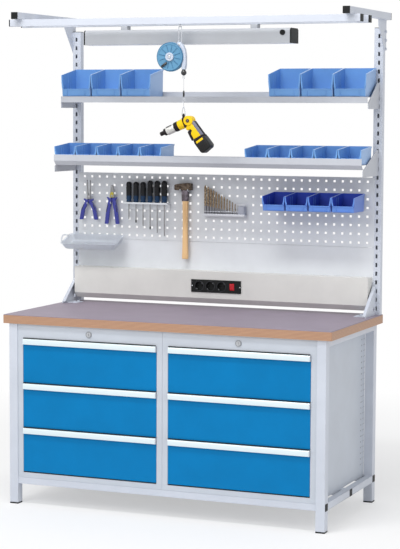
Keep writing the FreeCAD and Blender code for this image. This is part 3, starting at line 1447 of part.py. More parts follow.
def lever(word, side, sign):
    """One handle of a pair of pliers, bowed outwards from below the pivot."""
    pivot = f"{word}_low + {word}_rise"
    fork = f"{pivot} - fork_drop"
    root = f"{pivot} - fork_drop / 2"
    bow = (f"bow_out * {word}_spread", f"{word}_low + bow_up * {word}_rise")
    points = [("lever_inner", root), ("lever_outer", root), bow,
              (f"{word}_spread", f"{word}_low"), (f"{word}_spread - lever_wide", f"{word}_low"),
              (f"{bow[0]} - lever_wide", bow[1]), ("lever_inner", fork)]
    corners = [(f"{word}_x + {sign} * ({across})", up) for across, up in points]
    return prism(f"{word}_lever_{side}", "XZ", corners[::sign], "-tool_y - plier_thick / 2", "plier_thick")


def pliers():
    """Two pairs of pliers hung on pins, each with its levers and jaws."""
    pairs = []
    for word in PLIERS:
        pivot = f"{word}_low + {word}_rise"
        half = [("jaw_root", f"{pivot} - jaw_drop"), ("jaw_shoulder", f"{pivot} + jaw_rise"),
                ("jaw_tip", f"{word}_high")]
        corners = [(f"{word}_x + {across}", up) for across, up in half]
        corners += [(f"{word}_x - {across}", up) for across, up in half[::-1]]
        parts = [prism(f"{word}_jaw", "XZ", corners, "-tool_y - plier_thick / 3", "plier_thick * 2 / 3")]
        parts += [lever(word, side, sign) for side, sign in SIDES.items()]
        parts.append(rod(f"{word}_rivet", (f"{word}_x", "tool_y - plier_thick / 2 - past", pivot),
                         "rivet_radius", "plier_thick + 2 * past", "y"))
        pairs.append(fuse(f"{word}_pliers", *parts))
    node("pliers", group("plier_set", *pairs))


def screwdrivers():
    """Six screwdrivers side by side, the blades getting longer to the right."""
    tools = []
    for index in range(DRIVERS):
        x = f"driver_first + {index} * driver_pitch"
        neck = "driver_handle - driver_handle_long"
        handle = rod(f"driver_{index}_handle", (x, "tool_y", neck), "driver_radius",
                     "driver_handle_long - driver_radius")
        crown = ball(f"driver_{index}_crown", (x, "tool_y", "driver_handle - driver_radius"), "driver_crown")
        tip = f"driver_longest + {DRIVERS - 1 - index} * driver_step"
        blade = rod(f"driver_{index}_blade", (x, "tool_y", tip), "driver_blade", f"{neck} - ({tip}) + past")
        tools.append(fuse(f"driver_{index}", handle, crown, blade))
    node("screwdrivers", group("driver_set", *tools))


def hammer():
    """A hammer on a wooden handle, with a sleeve below its head."""
    left = "hammer_x - hammer_left"
    right = "hammer_x + hammer_right"
    top = "hammer_under + hammer_face"
    points = [(left, "hammer_under"), (right, "hammer_under"), (right, top),
              ("hammer_x", f"{top} + hammer_crown"), (left, f"{top} - hammer_taper")]
    head = prism("hammer_block", "XZ", points, "-tool_y - hammer_thick / 2", "hammer_thick")
    band = block("hammer_sleeve", about("hammer_x", "sleeve_wide / 2"), about("tool_y", "sleeve_across / 2"),
                 ("hammer_under - sleeve_long", "hammer_under"))
    handle = block("hammer_shaft", about("hammer_x", "shaft_wide / 2"), about("tool_y", "shaft_thick / 2"),
                   ("hammer_low", f"{top} + hammer_crown + shaft_past"))
    node("hammer_head", cut("hammer_eye", fuse("hammer_solid", head, band), handle))
    node("hammer_handle", handle)


def drill_stand():
    """A stand with a row of twist drills that get shorter to the right, and a small case."""
    y = (f"{PANEL_FACE} - stand_deep", PANEL_FACE)
    base_top = "stand_low + stand_high"
    parts = [
        block("stand_base", ("stand_left", "stand_right"), y, ("stand_low", base_top)),
        block("stand_back_sheet", ("stand_left", "stand_right"), (f"{PANEL_FACE} - pin_plate", PANEL_FACE),
              ("stand_low", "stand_low + stand_back")),
        block("stand_case", ("stand_right - case_inset - case_wide", "stand_right - case_inset"),
              (f"{y[0]} + case_inset", f"{PANEL_FACE} - pin_plate"), (base_top, f"{base_top} + case_high")),
    ]
    count = int(size("drill_count"))
    for index in range(count):
        share = f"{index} / {count - 1}"
        spot = (f"stand_left + drill_first + drill_row * {share}", f"{PANEL_FACE} - stand_deep / 2",
                f"{base_top} - drill_sink")
        parts.append(rod(f"drill_{index}", spot, f"drill_thick + (drill_thin - drill_thick) * {share}",
                         f"drill_long + (drill_short - drill_long) * {share}"))
    node("drill_set", fuse("drill_stand", *parts))


def tray():
    """A tilted tray of thin sheet, hung below the pliers."""
    outer = block("tray_outer", ("tray_left", "tray_right"), ("-tray_deep", "0"), ("0", "tray_high"))
    inner = block("tray_inner", ("tray_left + tray_wall", "tray_right - tray_wall"),
                  ("-tray_deep + tray_wall", "-tray_wall"), ("tray_wall", "tray_high + past"))
    open_tray = cut("tray_open", outer, inner)
    return place(open_tray, "0", f"{PANEL_FACE} - tray_stand_off", "tray_level", ALONG_X, "tray_tilt")


def holders():
    """Pins, the screwdriver rack and the tray on the perforated panel."""
    rack_top = "driver_handle - driver_handle_long"
    rack = block("rack_bar", about(f"driver_first + {DRIVERS - 1} / 2 * driver_pitch", "rack_half"),
                 ("tool_y - driver_radius - rack_front", PANEL_FACE), (f"{rack_top} - rack_high", rack_top))
    holes = [rod(f"rack_hole_{index}", (f"driver_first + {index} * driver_pitch", "tool_y",
                                        f"{rack_top} - rack_high - past"),
                 "driver_blade + tool_play", "rack_high + 2 * past") for index in range(DRIVERS)]
    parts = [cut("rack", rack, *holes)]
    for word in PLIERS:
        seat = f"{word}_low + {word}_rise - fork_drop - {word}_seat"
        parts.append(pin(f"{word}_pin", f"{word}_x", seat))
    for side, sign in SIDES.items():
        x = f"hammer_x + {sign} * (sleeve_wide / 2 + pin_radius + tool_play)"
        parts.append(pin(f"hammer_pin_{side}", x, "hammer_under - pin_radius"))
    arm_low = "tray_level + tray_arm_rise"
    arms = [block(f"tray_arm_{index}", about(panel_x(column), "tray_arm_half"),
                  (f"{PANEL_FACE} - tray_arm_long", PANEL_FACE), (arm_low, f"{arm_low} + tray_arm_high"))
            for index, column in enumerate((-17, -14))]
    parts.append(fuse("tray_hung", tray(), *arms))
    node("panel_holders", group("holder_set", *parts))


def build():
    """Make every sub-part."""
    worktop()
    base_frame()
    end_caps()
    feet()
    cabinets()
    uprights()
    brackets()
    energy_duct()
    plain_panel()
    holed_panel()
    shelves()
    gantry()
    lamp()
    balancer()
    power_tool()
    bins()
    holders()
    pliers()
    screwdrivers()
    hammer()
    drill_stand()
    doc.recompute()


def check_and_write():
    """Stop at any failed object, then write one file for each sub-part."""
    for thing in doc.Objects:
        if "Invalid" in thing.State or "Error" in thing.State:
            raise RuntimeError(f"{thing.Name} failed: {thing.State}")
    os.makedirs("parts", exist_ok=True)
    for thing in nodes:
        shape = thing.Shape
        if shape.isNull() or not shape.isValid() or not shape.Solids:
            raise RuntimeError(f"{thing.Label} has no sound shape")
        shape.exportStep(f"parts/{thing.Label}.step")
        print(thing.Label, len(shape.Solids), "solids", round(shape.Volume / 1000), "cm3")


build()
check_and_write()
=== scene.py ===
# %% [markdown]
# # A workbench with drawer cabinets and a rear structure
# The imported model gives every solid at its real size. This file gives them their finishes,
# adds the pieces that a solid model leaves plain, and sets up the light and the camera.

import math

import bmesh
import bpy
from mathutils import Matrix, Vector


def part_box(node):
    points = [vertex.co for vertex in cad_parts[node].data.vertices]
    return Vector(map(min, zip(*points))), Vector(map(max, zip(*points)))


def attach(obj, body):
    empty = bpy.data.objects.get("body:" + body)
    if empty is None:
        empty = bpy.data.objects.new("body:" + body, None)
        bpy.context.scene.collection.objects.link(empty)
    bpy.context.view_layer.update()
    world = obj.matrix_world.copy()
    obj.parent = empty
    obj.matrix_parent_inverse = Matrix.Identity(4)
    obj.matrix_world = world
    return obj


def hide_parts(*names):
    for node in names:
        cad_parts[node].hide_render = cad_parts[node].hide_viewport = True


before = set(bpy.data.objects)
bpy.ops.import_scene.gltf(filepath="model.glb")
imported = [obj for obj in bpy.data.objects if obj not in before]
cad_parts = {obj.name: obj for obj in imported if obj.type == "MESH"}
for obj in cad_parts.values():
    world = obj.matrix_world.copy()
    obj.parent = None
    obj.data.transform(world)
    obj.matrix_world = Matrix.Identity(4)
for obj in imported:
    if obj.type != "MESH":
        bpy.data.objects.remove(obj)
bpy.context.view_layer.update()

# %% [markdown]
# ## The camera
# The photograph was taken from the right, a little above the worktop, from more than seven
# metres away with a long lens. A long lens keeps upright lines nearly parallel. The camera is
# built from its place and three angles, because those are what a fit to the photograph gives.

# %% Camera
CAMERA_PLACE = Vector((3.0536, -7.2258, 1.7110))
YAW = math.radians(22.72)
PITCH = math.radians(5.15)
ROLL = math.radians(0.26)
FOCAL_PIXELS = 1812.6
LONG_SIDE_PIXELS = 549
SENSOR = 36.0

forward = Vector((-math.sin(YAW) * math.cos(PITCH), math.cos(YAW) * math.cos(PITCH), -math.sin(PITCH)))
level_right = Vector((math.cos(YAW), math.sin(YAW), 0))
level_up = level_right.cross(forward)
right = math.cos(ROLL) * level_right + math.sin(ROLL) * level_up
up = math.cos(ROLL) * level_up - math.sin(ROLL) * level_right
lens_data = bpy.data.cameras.new("photo_camera")
lens_data.sensor_width = SENSOR
lens_data.lens = FOCAL_PIXELS * SENSOR / LONG_SIDE_PIXELS
lens_data.clip_end = 60
camera = bpy.data.objects.new("photo_camera", lens_data)
camera.matrix_world = Matrix((right, up, -forward)).transposed().to_4x4()
camera.location = CAMERA_PLACE
bpy.context.collection.objects.link(camera)
bpy.context.scene.camera = camera
print("lens", round(lens_data.lens, 1), "mm")

# %% [markdown]
# ## Studio, floor and light
# A product picture has a white room and soft light. The world gives even light from all
# sides. A large lamp in front on the left gives shape, a narrow one above lights what faces
# up, and a weak one stands on the right. What the camera sees behind the object is plain
# white, set by a Light Path node, so the object itself gets no more light than it needs.

# %% World and lamps
scene = bpy.context.scene
scene.view_settings.view_transform = "Standard"


def feed(tree, plug, value):
    """Link a node's output to an input, or set the input's plain value."""
    if isinstance(value, bpy.types.Node):
        value = value.outputs[0]
    if isinstance(value, bpy.types.NodeSocket):
        tree.links.new(value, plug)
    else:
        plug.default_value = value


def node_of(tree, kind, *values, mode=None, **named):
    """Add a shader node whose inputs, in order or by name, get values or links."""
    made = tree.nodes.new("ShaderNode" + kind)
    if mode:
        made.operation = mode
    for plug, value in zip(made.inputs, values):
        feed(tree, plug, value)
    for key, value in named.items():
        feed(tree, made.inputs[key.replace("_", " ")], value)
    return made


def seen_by_camera_or_gloss(tree):
    """A node that gives 1 for rays from the camera, mirror rays and rays through glass."""
    rays = node_of(tree, "LightPath").outputs
    first = node_of(tree, "Math", rays["Is Camera Ray"], rays["Is Glossy Ray"], mode="MAXIMUM")
    return node_of(tree, "Math", first, rays["Is Transmission Ray"], mode="MAXIMUM")


WHITE = (1, 1, 1, 1)
world = bpy.data.worlds.new("studio")
scene.world = world
world.use_nodes = True
tree = world.node_tree
room_light = tree.nodes["Background"]
room_light.inputs["Color"].default_value = (0.97, 0.98, 1.0, 1)
room_light.inputs["Strength"].default_value = 0.6
backdrop = node_of(tree, "Background", Color=WHITE, Strength=1.0)
choice = node_of(tree, "MixShader", seen_by_camera_or_gloss(tree), room_light, backdrop)
feed(tree, tree.nodes["World Output"].inputs["Surface"], choice)


def soft_lamp(name, place, target, watts, wide, high):
    """A rectangular lamp that looks at a point."""
    data = bpy.data.lights.new(name, "AREA")
    data.shape = "RECTANGLE"
    data.size = wide
    data.size_y = high
    data.energy = watts
    lamp = bpy.data.objects.new(name, data)
    lamp.location = place
    lamp.rotation_euler = (Vector(target) - Vector(place)).to_track_quat("-Z", "Y").to_euler()
    bpy.context.collection.objects.link(lamp)


MIDDLE = (0, 0, 1.1)
soft_lamp("key", (-1.2, -5.0, 4.0), MIDDLE, 88, 3.0, 2.2)
soft_lamp("top", (0.0, -2.1, 4.8), MIDDLE, 85, 2.4, 0.4)
soft_lamp("side", (5.0, -2.0, 2.2), MIDDLE, 30, 2.0, 2.4)

# %% [markdown]
# ## The floor
# Near the object the floor is pale paper that takes a faint shadow. It glows more and more
# with distance, so that it fades into the white room.

# %% Floor
floor_mesh = bpy.data.meshes.new("floor")
shape = bmesh.new()
bmesh.ops.create_grid(shape, x_segments=1, y_segments=1, size=14)
shape.to_mesh(floor_mesh)
shape.free()
floor = bpy.data.objects.new("floor", floor_mesh)
floor.location.z = -0.0005
bpy.context.collection.objects.link(floor)

floor_finish = bpy.data.materials.new("studio_floor")
floor_finish.use_nodes = True
tree = floor_finish.node_tree
paper = tree.nodes["Principled BSDF"]
paper.inputs["Base Color"].default_value = (0.93, 0.93, 0.93, 1)
paper.inputs["Roughness"].default_value = 0.9
glow = node_of(tree, "Emission", Color=WHITE, Strength=1.0)
ground = node_of(tree, "TexCoord").outputs["Object"]
distance = node_of(tree, "VectorMath", ground, mode="LENGTH").outputs["Value"]
fade = node_of(tree, "MapRange", Value=distance, From_Min=1.0, From_Max=3.4, To_Min=0.45, To_Max=1.0)
mixed = node_of(tree, "MixShader", fade, paper, glow)
choice = node_of(tree, "MixShader", seen_by_camera_or_gloss(tree), paper, mixed)
feed(tree, tree.nodes["Material Output"].inputs["Surface"], choice)
floor_mesh.materials.append(floor_finish)

# %% [markdown]
# ## Finishes
# Colours are written as the eye sees them, in values from 0 to 255, and turned into the
# linear values that a shader works with. Every finish starts from one function: a shader
# with a faint change of colour and gloss across the surface, and a fine relief. Real powder
# paint has such a relief, like the skin of an orange, about half a millimetre across.

# %% Colour and finish helpers


def linear(red, green, blue):
    """A screen colour as linear values."""
    def part(value):
        share = value / 255
        return share / 12.92 if share <= 0.04045 else ((share + 0.055) / 1.055) ** 2.4
    return (part(red), part(green), part(blue), 1)


def shade(colour, factor):
    """A lighter or darker version of a linear colour."""
    return tuple(min(1.0, value * factor) for value in colour[:3]) + (1,)


def surface(name, **values):
    """A new material with its node tree, and its shader with some plain values."""
    made = bpy.data.materials.new(name)
    made.use_nodes = True
    shader = made.node_tree.nodes["Principled BSDF"]
    for key, value in values.items():
        shader.inputs[key.replace("_", " ")].default_value = value
    return made, made.node_tree, shader


def ramp_of(tree, source, start, end):
    """A colour ramp between two pairs of place and colour."""
    made = node_of(tree, "ValToRGB", Fac=source)
    for element, (place, colour) in zip(made.color_ramp.elements, (start, end)):
        element.position = place
        element.color = colour
    return made


def cover(tree, shader, colour, clouds, gloss, grains, relief, depth):
    """Give a shader its colour, a gloss that changes with one noise, and relief from another."""
    low, high = gloss
    feed(tree, shader.inputs["Base Color"], colour)
    feed(tree, shader.inputs["Roughness"], node_of(tree, "MapRange", Value=clouds, To_Min=low, To_Max=high))
    feed(tree, shader.inputs["Normal"], node_of(tree, "Bump", Strength=relief, Distance=depth, Height=grains))


GLOSS_CHANGE = 0.08


def finish(name, colour, roughness, grain=900.0, relief=0.04, change=0.04, metallic=0.0, coat=0.0,
           stretch=(1, 1, 1), mirror=0.5):
    """A surface with a fine relief and a faint change of colour and gloss, in object space."""
    made, tree, shader = surface(name, Metallic=metallic, Coat_Weight=coat, Specular_IOR_Level=mirror)
    colour = linear(*colour)
    place = node_of(tree, "Mapping", Vector=node_of(tree, "TexCoord").outputs["Object"], Scale=stretch)
    clouds = node_of(tree, "TexNoise", Vector=place, Scale=7.0, Detail=4.0, Roughness=0.6)
    fine = node_of(tree, "TexNoise", Vector=place, Scale=grain, Detail=2.0)
    paint = ramp_of(tree, clouds, (0.3, shade(colour, 1 - change)), (0.7, shade(colour, 1 + change)))
    gloss = max(0.02, roughness - GLOSS_CHANGE), min(1.0, roughness + GLOSS_CHANGE)
    cover(tree, shader, paint, clouds, gloss, fine, relief, 0.0004)
    return made


# %% Paints, metals and plastics
light_grey = finish("light_grey_paint", (203, 208, 218), 0.42, mirror=0.35)
panel_grey = finish("panel_grey_paint", (217, 220, 224), 0.45, mirror=0.35)
# The shelves carry the frame's light grey paint; this darker, warmer copy is painted shade.
shelf_grey_shaded = finish("shelf_grey_painted_shade", (190, 193, 200), 0.45, mirror=0.3)
lock_steel = finish("lock_steel", (150, 153, 158), 0.4, grain=600, change=0.1, metallic=0.6)
cabinet_grey = finish("cabinet_grey_paint", (194, 200, 209), 0.45, mirror=0.35)
duct_grey = finish("warm_grey_paint", (219, 218, 214), 0.5, mirror=0.35)
drawer_blue = finish("blue_paint", (0, 120, 180), 0.4, relief=0.05, change=0.05, mirror=0.12)
grip_metal = finish("grip_aluminium", (224, 237, 241), 0.38, grain=500, relief=0.03, change=0.02,
                    metallic=0.35, stretch=(0.05, 1, 1))
steel = finish("zinc_steel", (190, 192, 196), 0.35, grain=600, change=0.1, metallic=0.9)
chrome = finish("chrome", (205, 208, 212), 0.16, relief=0.0, change=0.03, metallic=1.0)
lamp_paint = finish("lamp_paint", (190, 193, 198), 0.42)
opal = finish("diffuser", (240, 242, 244), 0.5, relief=0.02)


def plastic(name, colour, roughness=0.5, grain=1400, relief=0.1, change=0.1, mirror=0.3):
    """The finish of a moulded part, with a coarser relief than paint has."""
    return finish(name, colour, roughness, grain, relief, change, mirror=mirror)


def bin_plastic(name, colour, roughness=0.42, change=0.06, mirror=0.3):
    """The finish of a storage bin."""
    return plastic(name, colour, roughness, 700, 0.08, change, mirror)


black_plastic = plastic("black_plastic", (22, 24, 24), change=0.15, mirror=0.2)
dark_grey_plastic = plastic("dark_grey_plastic", (40, 42, 46))
# The rim materials are copies of the bin blues for the rims and right sides, painted highlight; the inside
# materials are darker copies, painted shade.
bin_blue = bin_plastic("bin_blue", (112, 160, 216))
bin_highlight_blue = bin_plastic("bin_blue_painted_highlight", (158, 188, 228), change=0.04)
bin_shaded_blue = bin_plastic("bin_blue_painted_shade", (106, 156, 216), 0.5, mirror=0.2)
hung_bin_blue = bin_plastic("hung_bin_blue", (96, 138, 214))
hung_bin_highlight_blue = bin_plastic("hung_bin_blue_painted_highlight", (104, 132, 206), change=0.04, mirror=0.5)
hung_bin_shaded_blue = bin_plastic("hung_bin_blue_painted_shade", (48, 74, 180), 0.5, mirror=0.2)

# %% [markdown]
# ## The worktop
# The board is beech plywood. Its sides show the veneers as stripes, light where the fibres
# run along the edge and darker where they are cut across. The stripes come from the height
# alone, pushed up and down a little by noise, and the grain from noise stretched along the
# edge. The covering on top is a mauve grey sheet with a speckle.

# %% Plywood and covering


BEND, VENEER = 0.0016, 0.0027


def plywood(name, light, dark):
    """Veneer stripes by height, with long fibres."""
    made, tree, shader = surface(name, Coat_Weight=0.15, Coat_Roughness=0.3)
    light, dark = linear(*light), linear(*dark)
    place = node_of(tree, "TexCoord").outputs["Object"]
    coarse = node_of(tree, "Mapping", Vector=place, Scale=(3, 3, 60))
    bend = node_of(tree, "TexNoise", Vector=coarse, Scale=1.5, Detail=2.0)
    height = node_of(tree, "SeparateXYZ", place).outputs["Z"]
    shifted = node_of(tree, "Math", bend, BEND, height, mode="MULTIPLY_ADD")
    wave = node_of(tree, "Math", shifted, VENEER, mode="PINGPONG")
    band = node_of(tree, "MapRange", Value=wave, From_Min=0.0010, From_Max=0.0016)
    share = node_of(tree, "Math", band, 0.55, mode="MULTIPLY")
    long = node_of(tree, "Mapping", Vector=place, Scale=(8, 8, 900))
    fibre = node_of(tree, "TexNoise", Vector=long, Scale=2.2, Detail=5.0, Roughness=0.7)
    pale = ramp_of(tree, fibre, (0.35, shade(light, 0.80)), (0.62, shade(light, 1.08)))
    mix = tree.nodes.new("ShaderNodeMix")
    mix.data_type = "RGBA"
    for key, value in (("Factor", share), ("A", pale), ("B", dark)):
        feed(tree, mix.inputs[key], value)
    cover(tree, shader, mix.outputs["Result"], fibre, (0.42, 0.62), fibre, 0.25, 0.0003)
    return made


beech = plywood("beech", (192, 150, 118), (140, 99, 82))
covering = finish("top_covering", (150, 139, 152), 0.55, grain=1500, relief=0.12, change=0.07,
                  mirror=0.3)

# %% [markdown]
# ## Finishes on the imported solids
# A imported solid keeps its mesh, and only gets a material. A small bevel on top of it, made by
# modifiers, lets the edges catch light as folded sheet and tube do. The solids come as loose
# triangles, so a weld comes first.

# %% Dress the solids


def soften(thing, width):
    """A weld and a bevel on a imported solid's sharp edges."""
    weld = thing.modifiers.new("weld", "WELD")
    weld.merge_threshold = 0.00001
    bevel = thing.modifiers.new("soft_edges", "BEVEL")
    bevel.width = width
    bevel.segments = 2
    bevel.limit_method = "ANGLE"
    bevel.angle_limit = math.radians(40)


def dress(name, material, edge=0.0):
    """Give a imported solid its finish, and soft edges if it has a sheet or tube's radius."""
    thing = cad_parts[name]
    thing.data.materials.clear()
    thing.data.materials.append(material)
    if edge:
        soften(thing, edge)


for name, material, edge in (
        ("worktop_board", beech, 0), ("worktop_covering", covering, 0.0008),
        ("base_frame", light_grey, 0.0015), ("uprights", light_grey, 0),
        ("gantry_arms", light_grey, 0.0012), ("gantry_rails", light_grey, 0.0012),
        ("upright_brackets", light_grey, 0.0006), ("shelves", shelf_grey_shaded, 0.0006),
        ("shelf_brackets", shelf_grey_shaded, 0.0006), ("plain_panel", panel_grey, 0),
        ("perforated_panel", panel_grey, 0), ("energy_duct", duct_grey, 0.0008),
        ("end_caps", black_plastic, 0.001), ("leveling_feet", black_plastic, 0.001),
        ("lock_sleeves", lock_steel, 0.0008), ("cabinet_runners", steel, 0),
        ("lamp_housing", lamp_paint, 0.0006), ("lamp_diffuser", opal, 0),
        ("lamp_button", black_plastic, 0.001)):
    dress(name, material, edge)
for side in ("left", "right"):
    dress(side + "_cabinet_housing", cabinet_grey)
    dress(side + "_lock_cylinder", steel, 0.0005)
    dress(side + "_locking_bar", steel)
    for level in ("top", "middle", "bottom"):
        dress(f"{side}_{level}_drawer_box", cabinet_grey)
        dress(f"{side}_{level}_drawer_front", drawer_blue, 0.001)
print("dressed", len([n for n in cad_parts.values() if n.data.materials]))

# %% [markdown]
# ## Tools for new pieces
# A piece is put together from small shapes. Each shape is a mesh of its own, made by one
# bmesh operator and bent or bevelled where the real one is, and is then put into the piece
# with the number of its material. In this way a tool with six finishes is still one object
# that moves with one body.

# %% Small shapes
MM = 0.001


def bevel(part, edges, radius, segments):
    """Round some edges of a shape by a radius in millimetres."""
    bmesh.ops.bevel(part, geom=edges, offset=radius * MM, segments=segments, profile=0.5, affect="EDGES",
                    material=-1, clamp_overlap=True)
    return part


def move(part, verts, step):
    """Shift corners by a step in millimetres."""
    bmesh.ops.translate(part, vec=Vector(step) * MM, verts=verts)


def box(low, high, edge=0.0, segments=2):
    """A block between two corners in millimetres, with rounded edges."""
    part = bmesh.new()
    bmesh.ops.create_cube(part, size=1)
    size = [(b - a) * MM for a, b in zip(low, high)]
    bmesh.ops.scale(part, vec=size, verts=part.verts)
    bmesh.ops.translate(part, vec=[(a + b) / 2 * MM for a, b in zip(low, high)], verts=part.verts)
    return bevel(part, list(part.edges), edge, segments) if edge else part


def lathe(profile, centre, axis="Z", steps=32):
    """A turned shape: radius and height pairs in millimetres, spun about an axis."""
    part = bmesh.new()
    points = [part.verts.new((radius * MM, 0, height * MM)) for radius, height in profile]
    edges = [part.edges.new((a, b)) for a, b in zip(points, points[1:])]
    bmesh.ops.spin(part, geom=points + edges, cent=(0, 0, 0), axis=(0, 0, 1), dvec=(0, 0, 0),
                   angle=math.tau, steps=steps, use_merge=True, use_duplicate=False)
    bmesh.ops.remove_doubles(part, verts=part.verts, dist=0.000002)
    turns = {"Z": Matrix.Identity(3), "Y": Matrix.Rotation(math.radians(-90), 3, "X"),
             "X": Matrix.Rotation(math.radians(90), 3, "Y")}
    bmesh.ops.rotate(part, cent=(0, 0, 0), matrix=turns[axis], verts=part.verts)
    move(part, part.verts, centre)
    bmesh.ops.recalc_face_normals(part, faces=part.faces)
    return part


def disc_profile(radius, low, high, edge):
    """The profile of a disc with rounded rims, closed at both poles."""
    inner, chamfer = radius - edge, edge * 0.3
    return [(0, low), (inner, low), (radius - chamfer, low + chamfer), (radius, low + edge),
            (radius, high - edge), (radius - chamfer, high - chamfer), (inner, high), (0, high)]


def slab(points, plane, start, end, edge=0.0, segments=2):
    """A flat outline in millimetres, in the plane YZ or XZ, drawn out along the third axis."""
    part = bmesh.new()
    if plane == "YZ":
        places, reach = [(start, a, b) for a, b in points], (end - start, 0, 0)
    else:
        places, reach = [(a, start, b) for a, b in points], (0, end - start, 0)
    corners = [part.verts.new(Vector(place) * MM) for place in places]
    face = part.faces.new(corners)
    grown = bmesh.ops.extrude_face_region(part, geom=[face])
    moved = [v for v in grown["geom"] if isinstance(v, bmesh.types.BMVert)]
    move(part, moved, reach)
    bmesh.ops.recalc_face_normals(part, faces=part.faces)
    return bevel(part, list(part.edges), edge, segments) if edge else part


def round_curve(name, points, radius, closed=False, sides=3, steps=6):
    """A smooth curve along points in millimetres, with a round section."""
    data = bpy.data.curves.new(name, "CURVE")
    data.dimensions = "3D"
    data.bevel_depth = radius * MM
    data.bevel_resolution = sides
    data.resolution_u = steps
    data.use_fill_caps = True
    line = data.splines.new("NURBS")
    line.points.add(len(points) - 1)
    for spot, point in zip(line.points, points):
        spot.co = (*(Vector(point) * MM), 1)
    line.order_u = 3
    line.use_cyclic_u = closed
    line.use_endpoint_u = not closed
    return data


def wire(points, radius, closed=False, sides=3):
    """A bent wire, as a mesh."""
    data = round_curve("wire", points, radius, closed, sides)
    thing = bpy.data.objects.new("wire", data)
    mesh = bpy.data.meshes.new_from_object(thing)
    part = bmesh.new()
    part.from_mesh(mesh)
    bpy.data.objects.remove(thing)
    bpy.data.curves.remove(data)
    bpy.data.meshes.remove(mesh)
    return part


def frame_at(place, angle, axis="Y"):
    """A frame at a place in millimetres, turned about one axis."""
    return Matrix.Translation(Vector(place) * MM) @ Matrix.Rotation(angle, 4, axis)


def put(target, part, material=0, turn=None):
    """Add a small shape to a piece, with the number of its material or a rule by face."""
    for face in part.faces:
        face.material_index = material(face) if callable(material) else material
    if turn is not None:
        bmesh.ops.transform(part, matrix=turn, verts=part.verts)
    mesh = bpy.data.meshes.new("part")
    part.to_mesh(mesh)
    part.free()
    target.from_mesh(mesh)
    bpy.data.meshes.remove(mesh)


def finish_piece(name, shape, materials, body, nodes=(), sharp=35):
    """Make an object of a shape, smooth but for its sharp edges, and tie it to its body."""
    mesh = bpy.data.meshes.new(name)
    shape.to_mesh(mesh)
    shape.free()
    for material in materials:
        mesh.materials.append(material)
    mesh.polygons.foreach_set("use_smooth", [True] * len(mesh.polygons))
    mesh.set_sharp_from_angle(angle=math.radians(sharp))
    thing = bpy.data.objects.new(name, mesh)
    bpy.context.collection.objects.link(thing)
    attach(thing, body)
    if nodes:
        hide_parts(*nodes)
    triangles = sum(len(p.vertices) - 2 for p in mesh.polygons)
    print(name, triangles, "triangles")


def corners_mm(node):
    """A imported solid's lowest and highest corners in millimetres."""
    return [[value * 1000 for value in corner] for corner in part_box(node)]


# %% [markdown]
# ## The balancer's cord
# A spring balancer holds its load on a thin cord. The cord hangs straight down under the
# tool's weight, so it is a taut line with no slack. It is given by its real length, its
# diameter and the point where it leaves the drum.

# %% Cord
CORD_X, CORD_Y = 21.0, -170.0
CORD_TOP, CORD_END, CORD_RADIUS = 1861.0, 1728.0, 1.0

heights = (CORD_TOP, 1845.0, 1795.0, 1745.0, CORD_END)
line_data = round_curve("balancer_cord_line", [(CORD_X, CORD_Y, z) for z in heights], CORD_RADIUS, steps=4)
cord_line = bpy.data.objects.new("pulled_cord", line_data)
bpy.context.collection.objects.link(cord_line)
cord_white = finish("cord_white", (184, 186, 190), 0.7, grain=2500, relief=0.3, change=0.06)
line_data.materials.append(cord_white)
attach(cord_line, "balancer")
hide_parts("balancer_cord")
print("cord", round((CORD_TOP - CORD_END) * MM, 3), "m")

# %% [markdown]
# ## Drawer grips
# Each drawer has an aluminium rail along its upper edge. It is a drawn profile: a nose to
# pull on, a hollow behind it for the fingers, and a web that lies on the drawer's front. An
# extruded outline is the same thing in a mesh. The nose is rounded afterwards with a bevel on
# its two long edges only, and a plastic cap closes each end. A black strip on top of the rail
# is painted shade for the gap to the sheet above it. It is the dark line over each grip.

# %% Round chosen edges


def round_edges(part, wanted, radius, segments=3):
    """Bevel the edges whose two ends both pass a test on their place in millimetres."""
    chosen = [edge for edge in part.edges if all(wanted(vert.co / MM) for vert in edge.verts)]
    return bevel(part, chosen, radius, segments)


cap_grey = finish("cap_grey", (196, 200, 208), 0.45, relief=0.05)
GRIP_WALL, GRIP_WEB, GRIP_CAP = 2.5, 11.0, 2.5
NOSE_RADIUS, LIP_RADIUS = 5.5, 1.1
SHADE_STRIP_BACK, SHADE_STRIP_WIDE, SHADE_STRIP_HIGH = 5.0, 5.4, 4.0


def grip_rail(low, high):
    """One grip between its corners: the drawn profile, its two end caps and a black strip of painted shade on
    top.
    """
    (x0, y0, z0), (x1, y1, z1) = low, high
    web = y0 + GRIP_WEB
    profile = [(y0, z0), (y0 + GRIP_WALL, z0), (y0 + GRIP_WALL, z1 - 5), (y0 + 5, z1 - GRIP_WALL),
               (web, z1 - GRIP_WALL), (web, z0), (web + GRIP_WALL, z0), (web + GRIP_WALL, z1 - GRIP_WALL),
               (y1, z1 - GRIP_WALL), (y1, z1), (y0, z1)]
    shape = bmesh.new()

    def nose(place):
        return place.y < y0 + 0.1 and place.z > z1 - 0.1

    rail = slab(profile, "YZ", x0 + GRIP_CAP, x1 - GRIP_CAP)
    round_edges(rail, nose, NOSE_RADIUS, 4)
    round_edges(rail, lambda p: p.y < y0 + GRIP_WALL + 0.1 and p.z < z0 + 0.1, LIP_RADIUS, 3)
    put(shape, rail)
    end = [(y0, z0), (web + GRIP_WALL, z0), (web + GRIP_WALL, z1), (y0, z1)]
    for start in (x0, x1 - GRIP_CAP):
        put(shape, round_edges(slab(end, "YZ", start, start + GRIP_CAP), nose, NOSE_RADIUS, 4), 1)
    # A black strip of painted shade on top of the rail, for the dark gap above it.
    shade_strip_y = y0 + SHADE_STRIP_BACK
    put(shape, box((x0 + 2, shade_strip_y, z1 - 0.5), (x1 - 2, shade_strip_y + SHADE_STRIP_WIDE, z1 + SHADE_STRIP_HIGH), 0.6, 2), 2)
    return shape


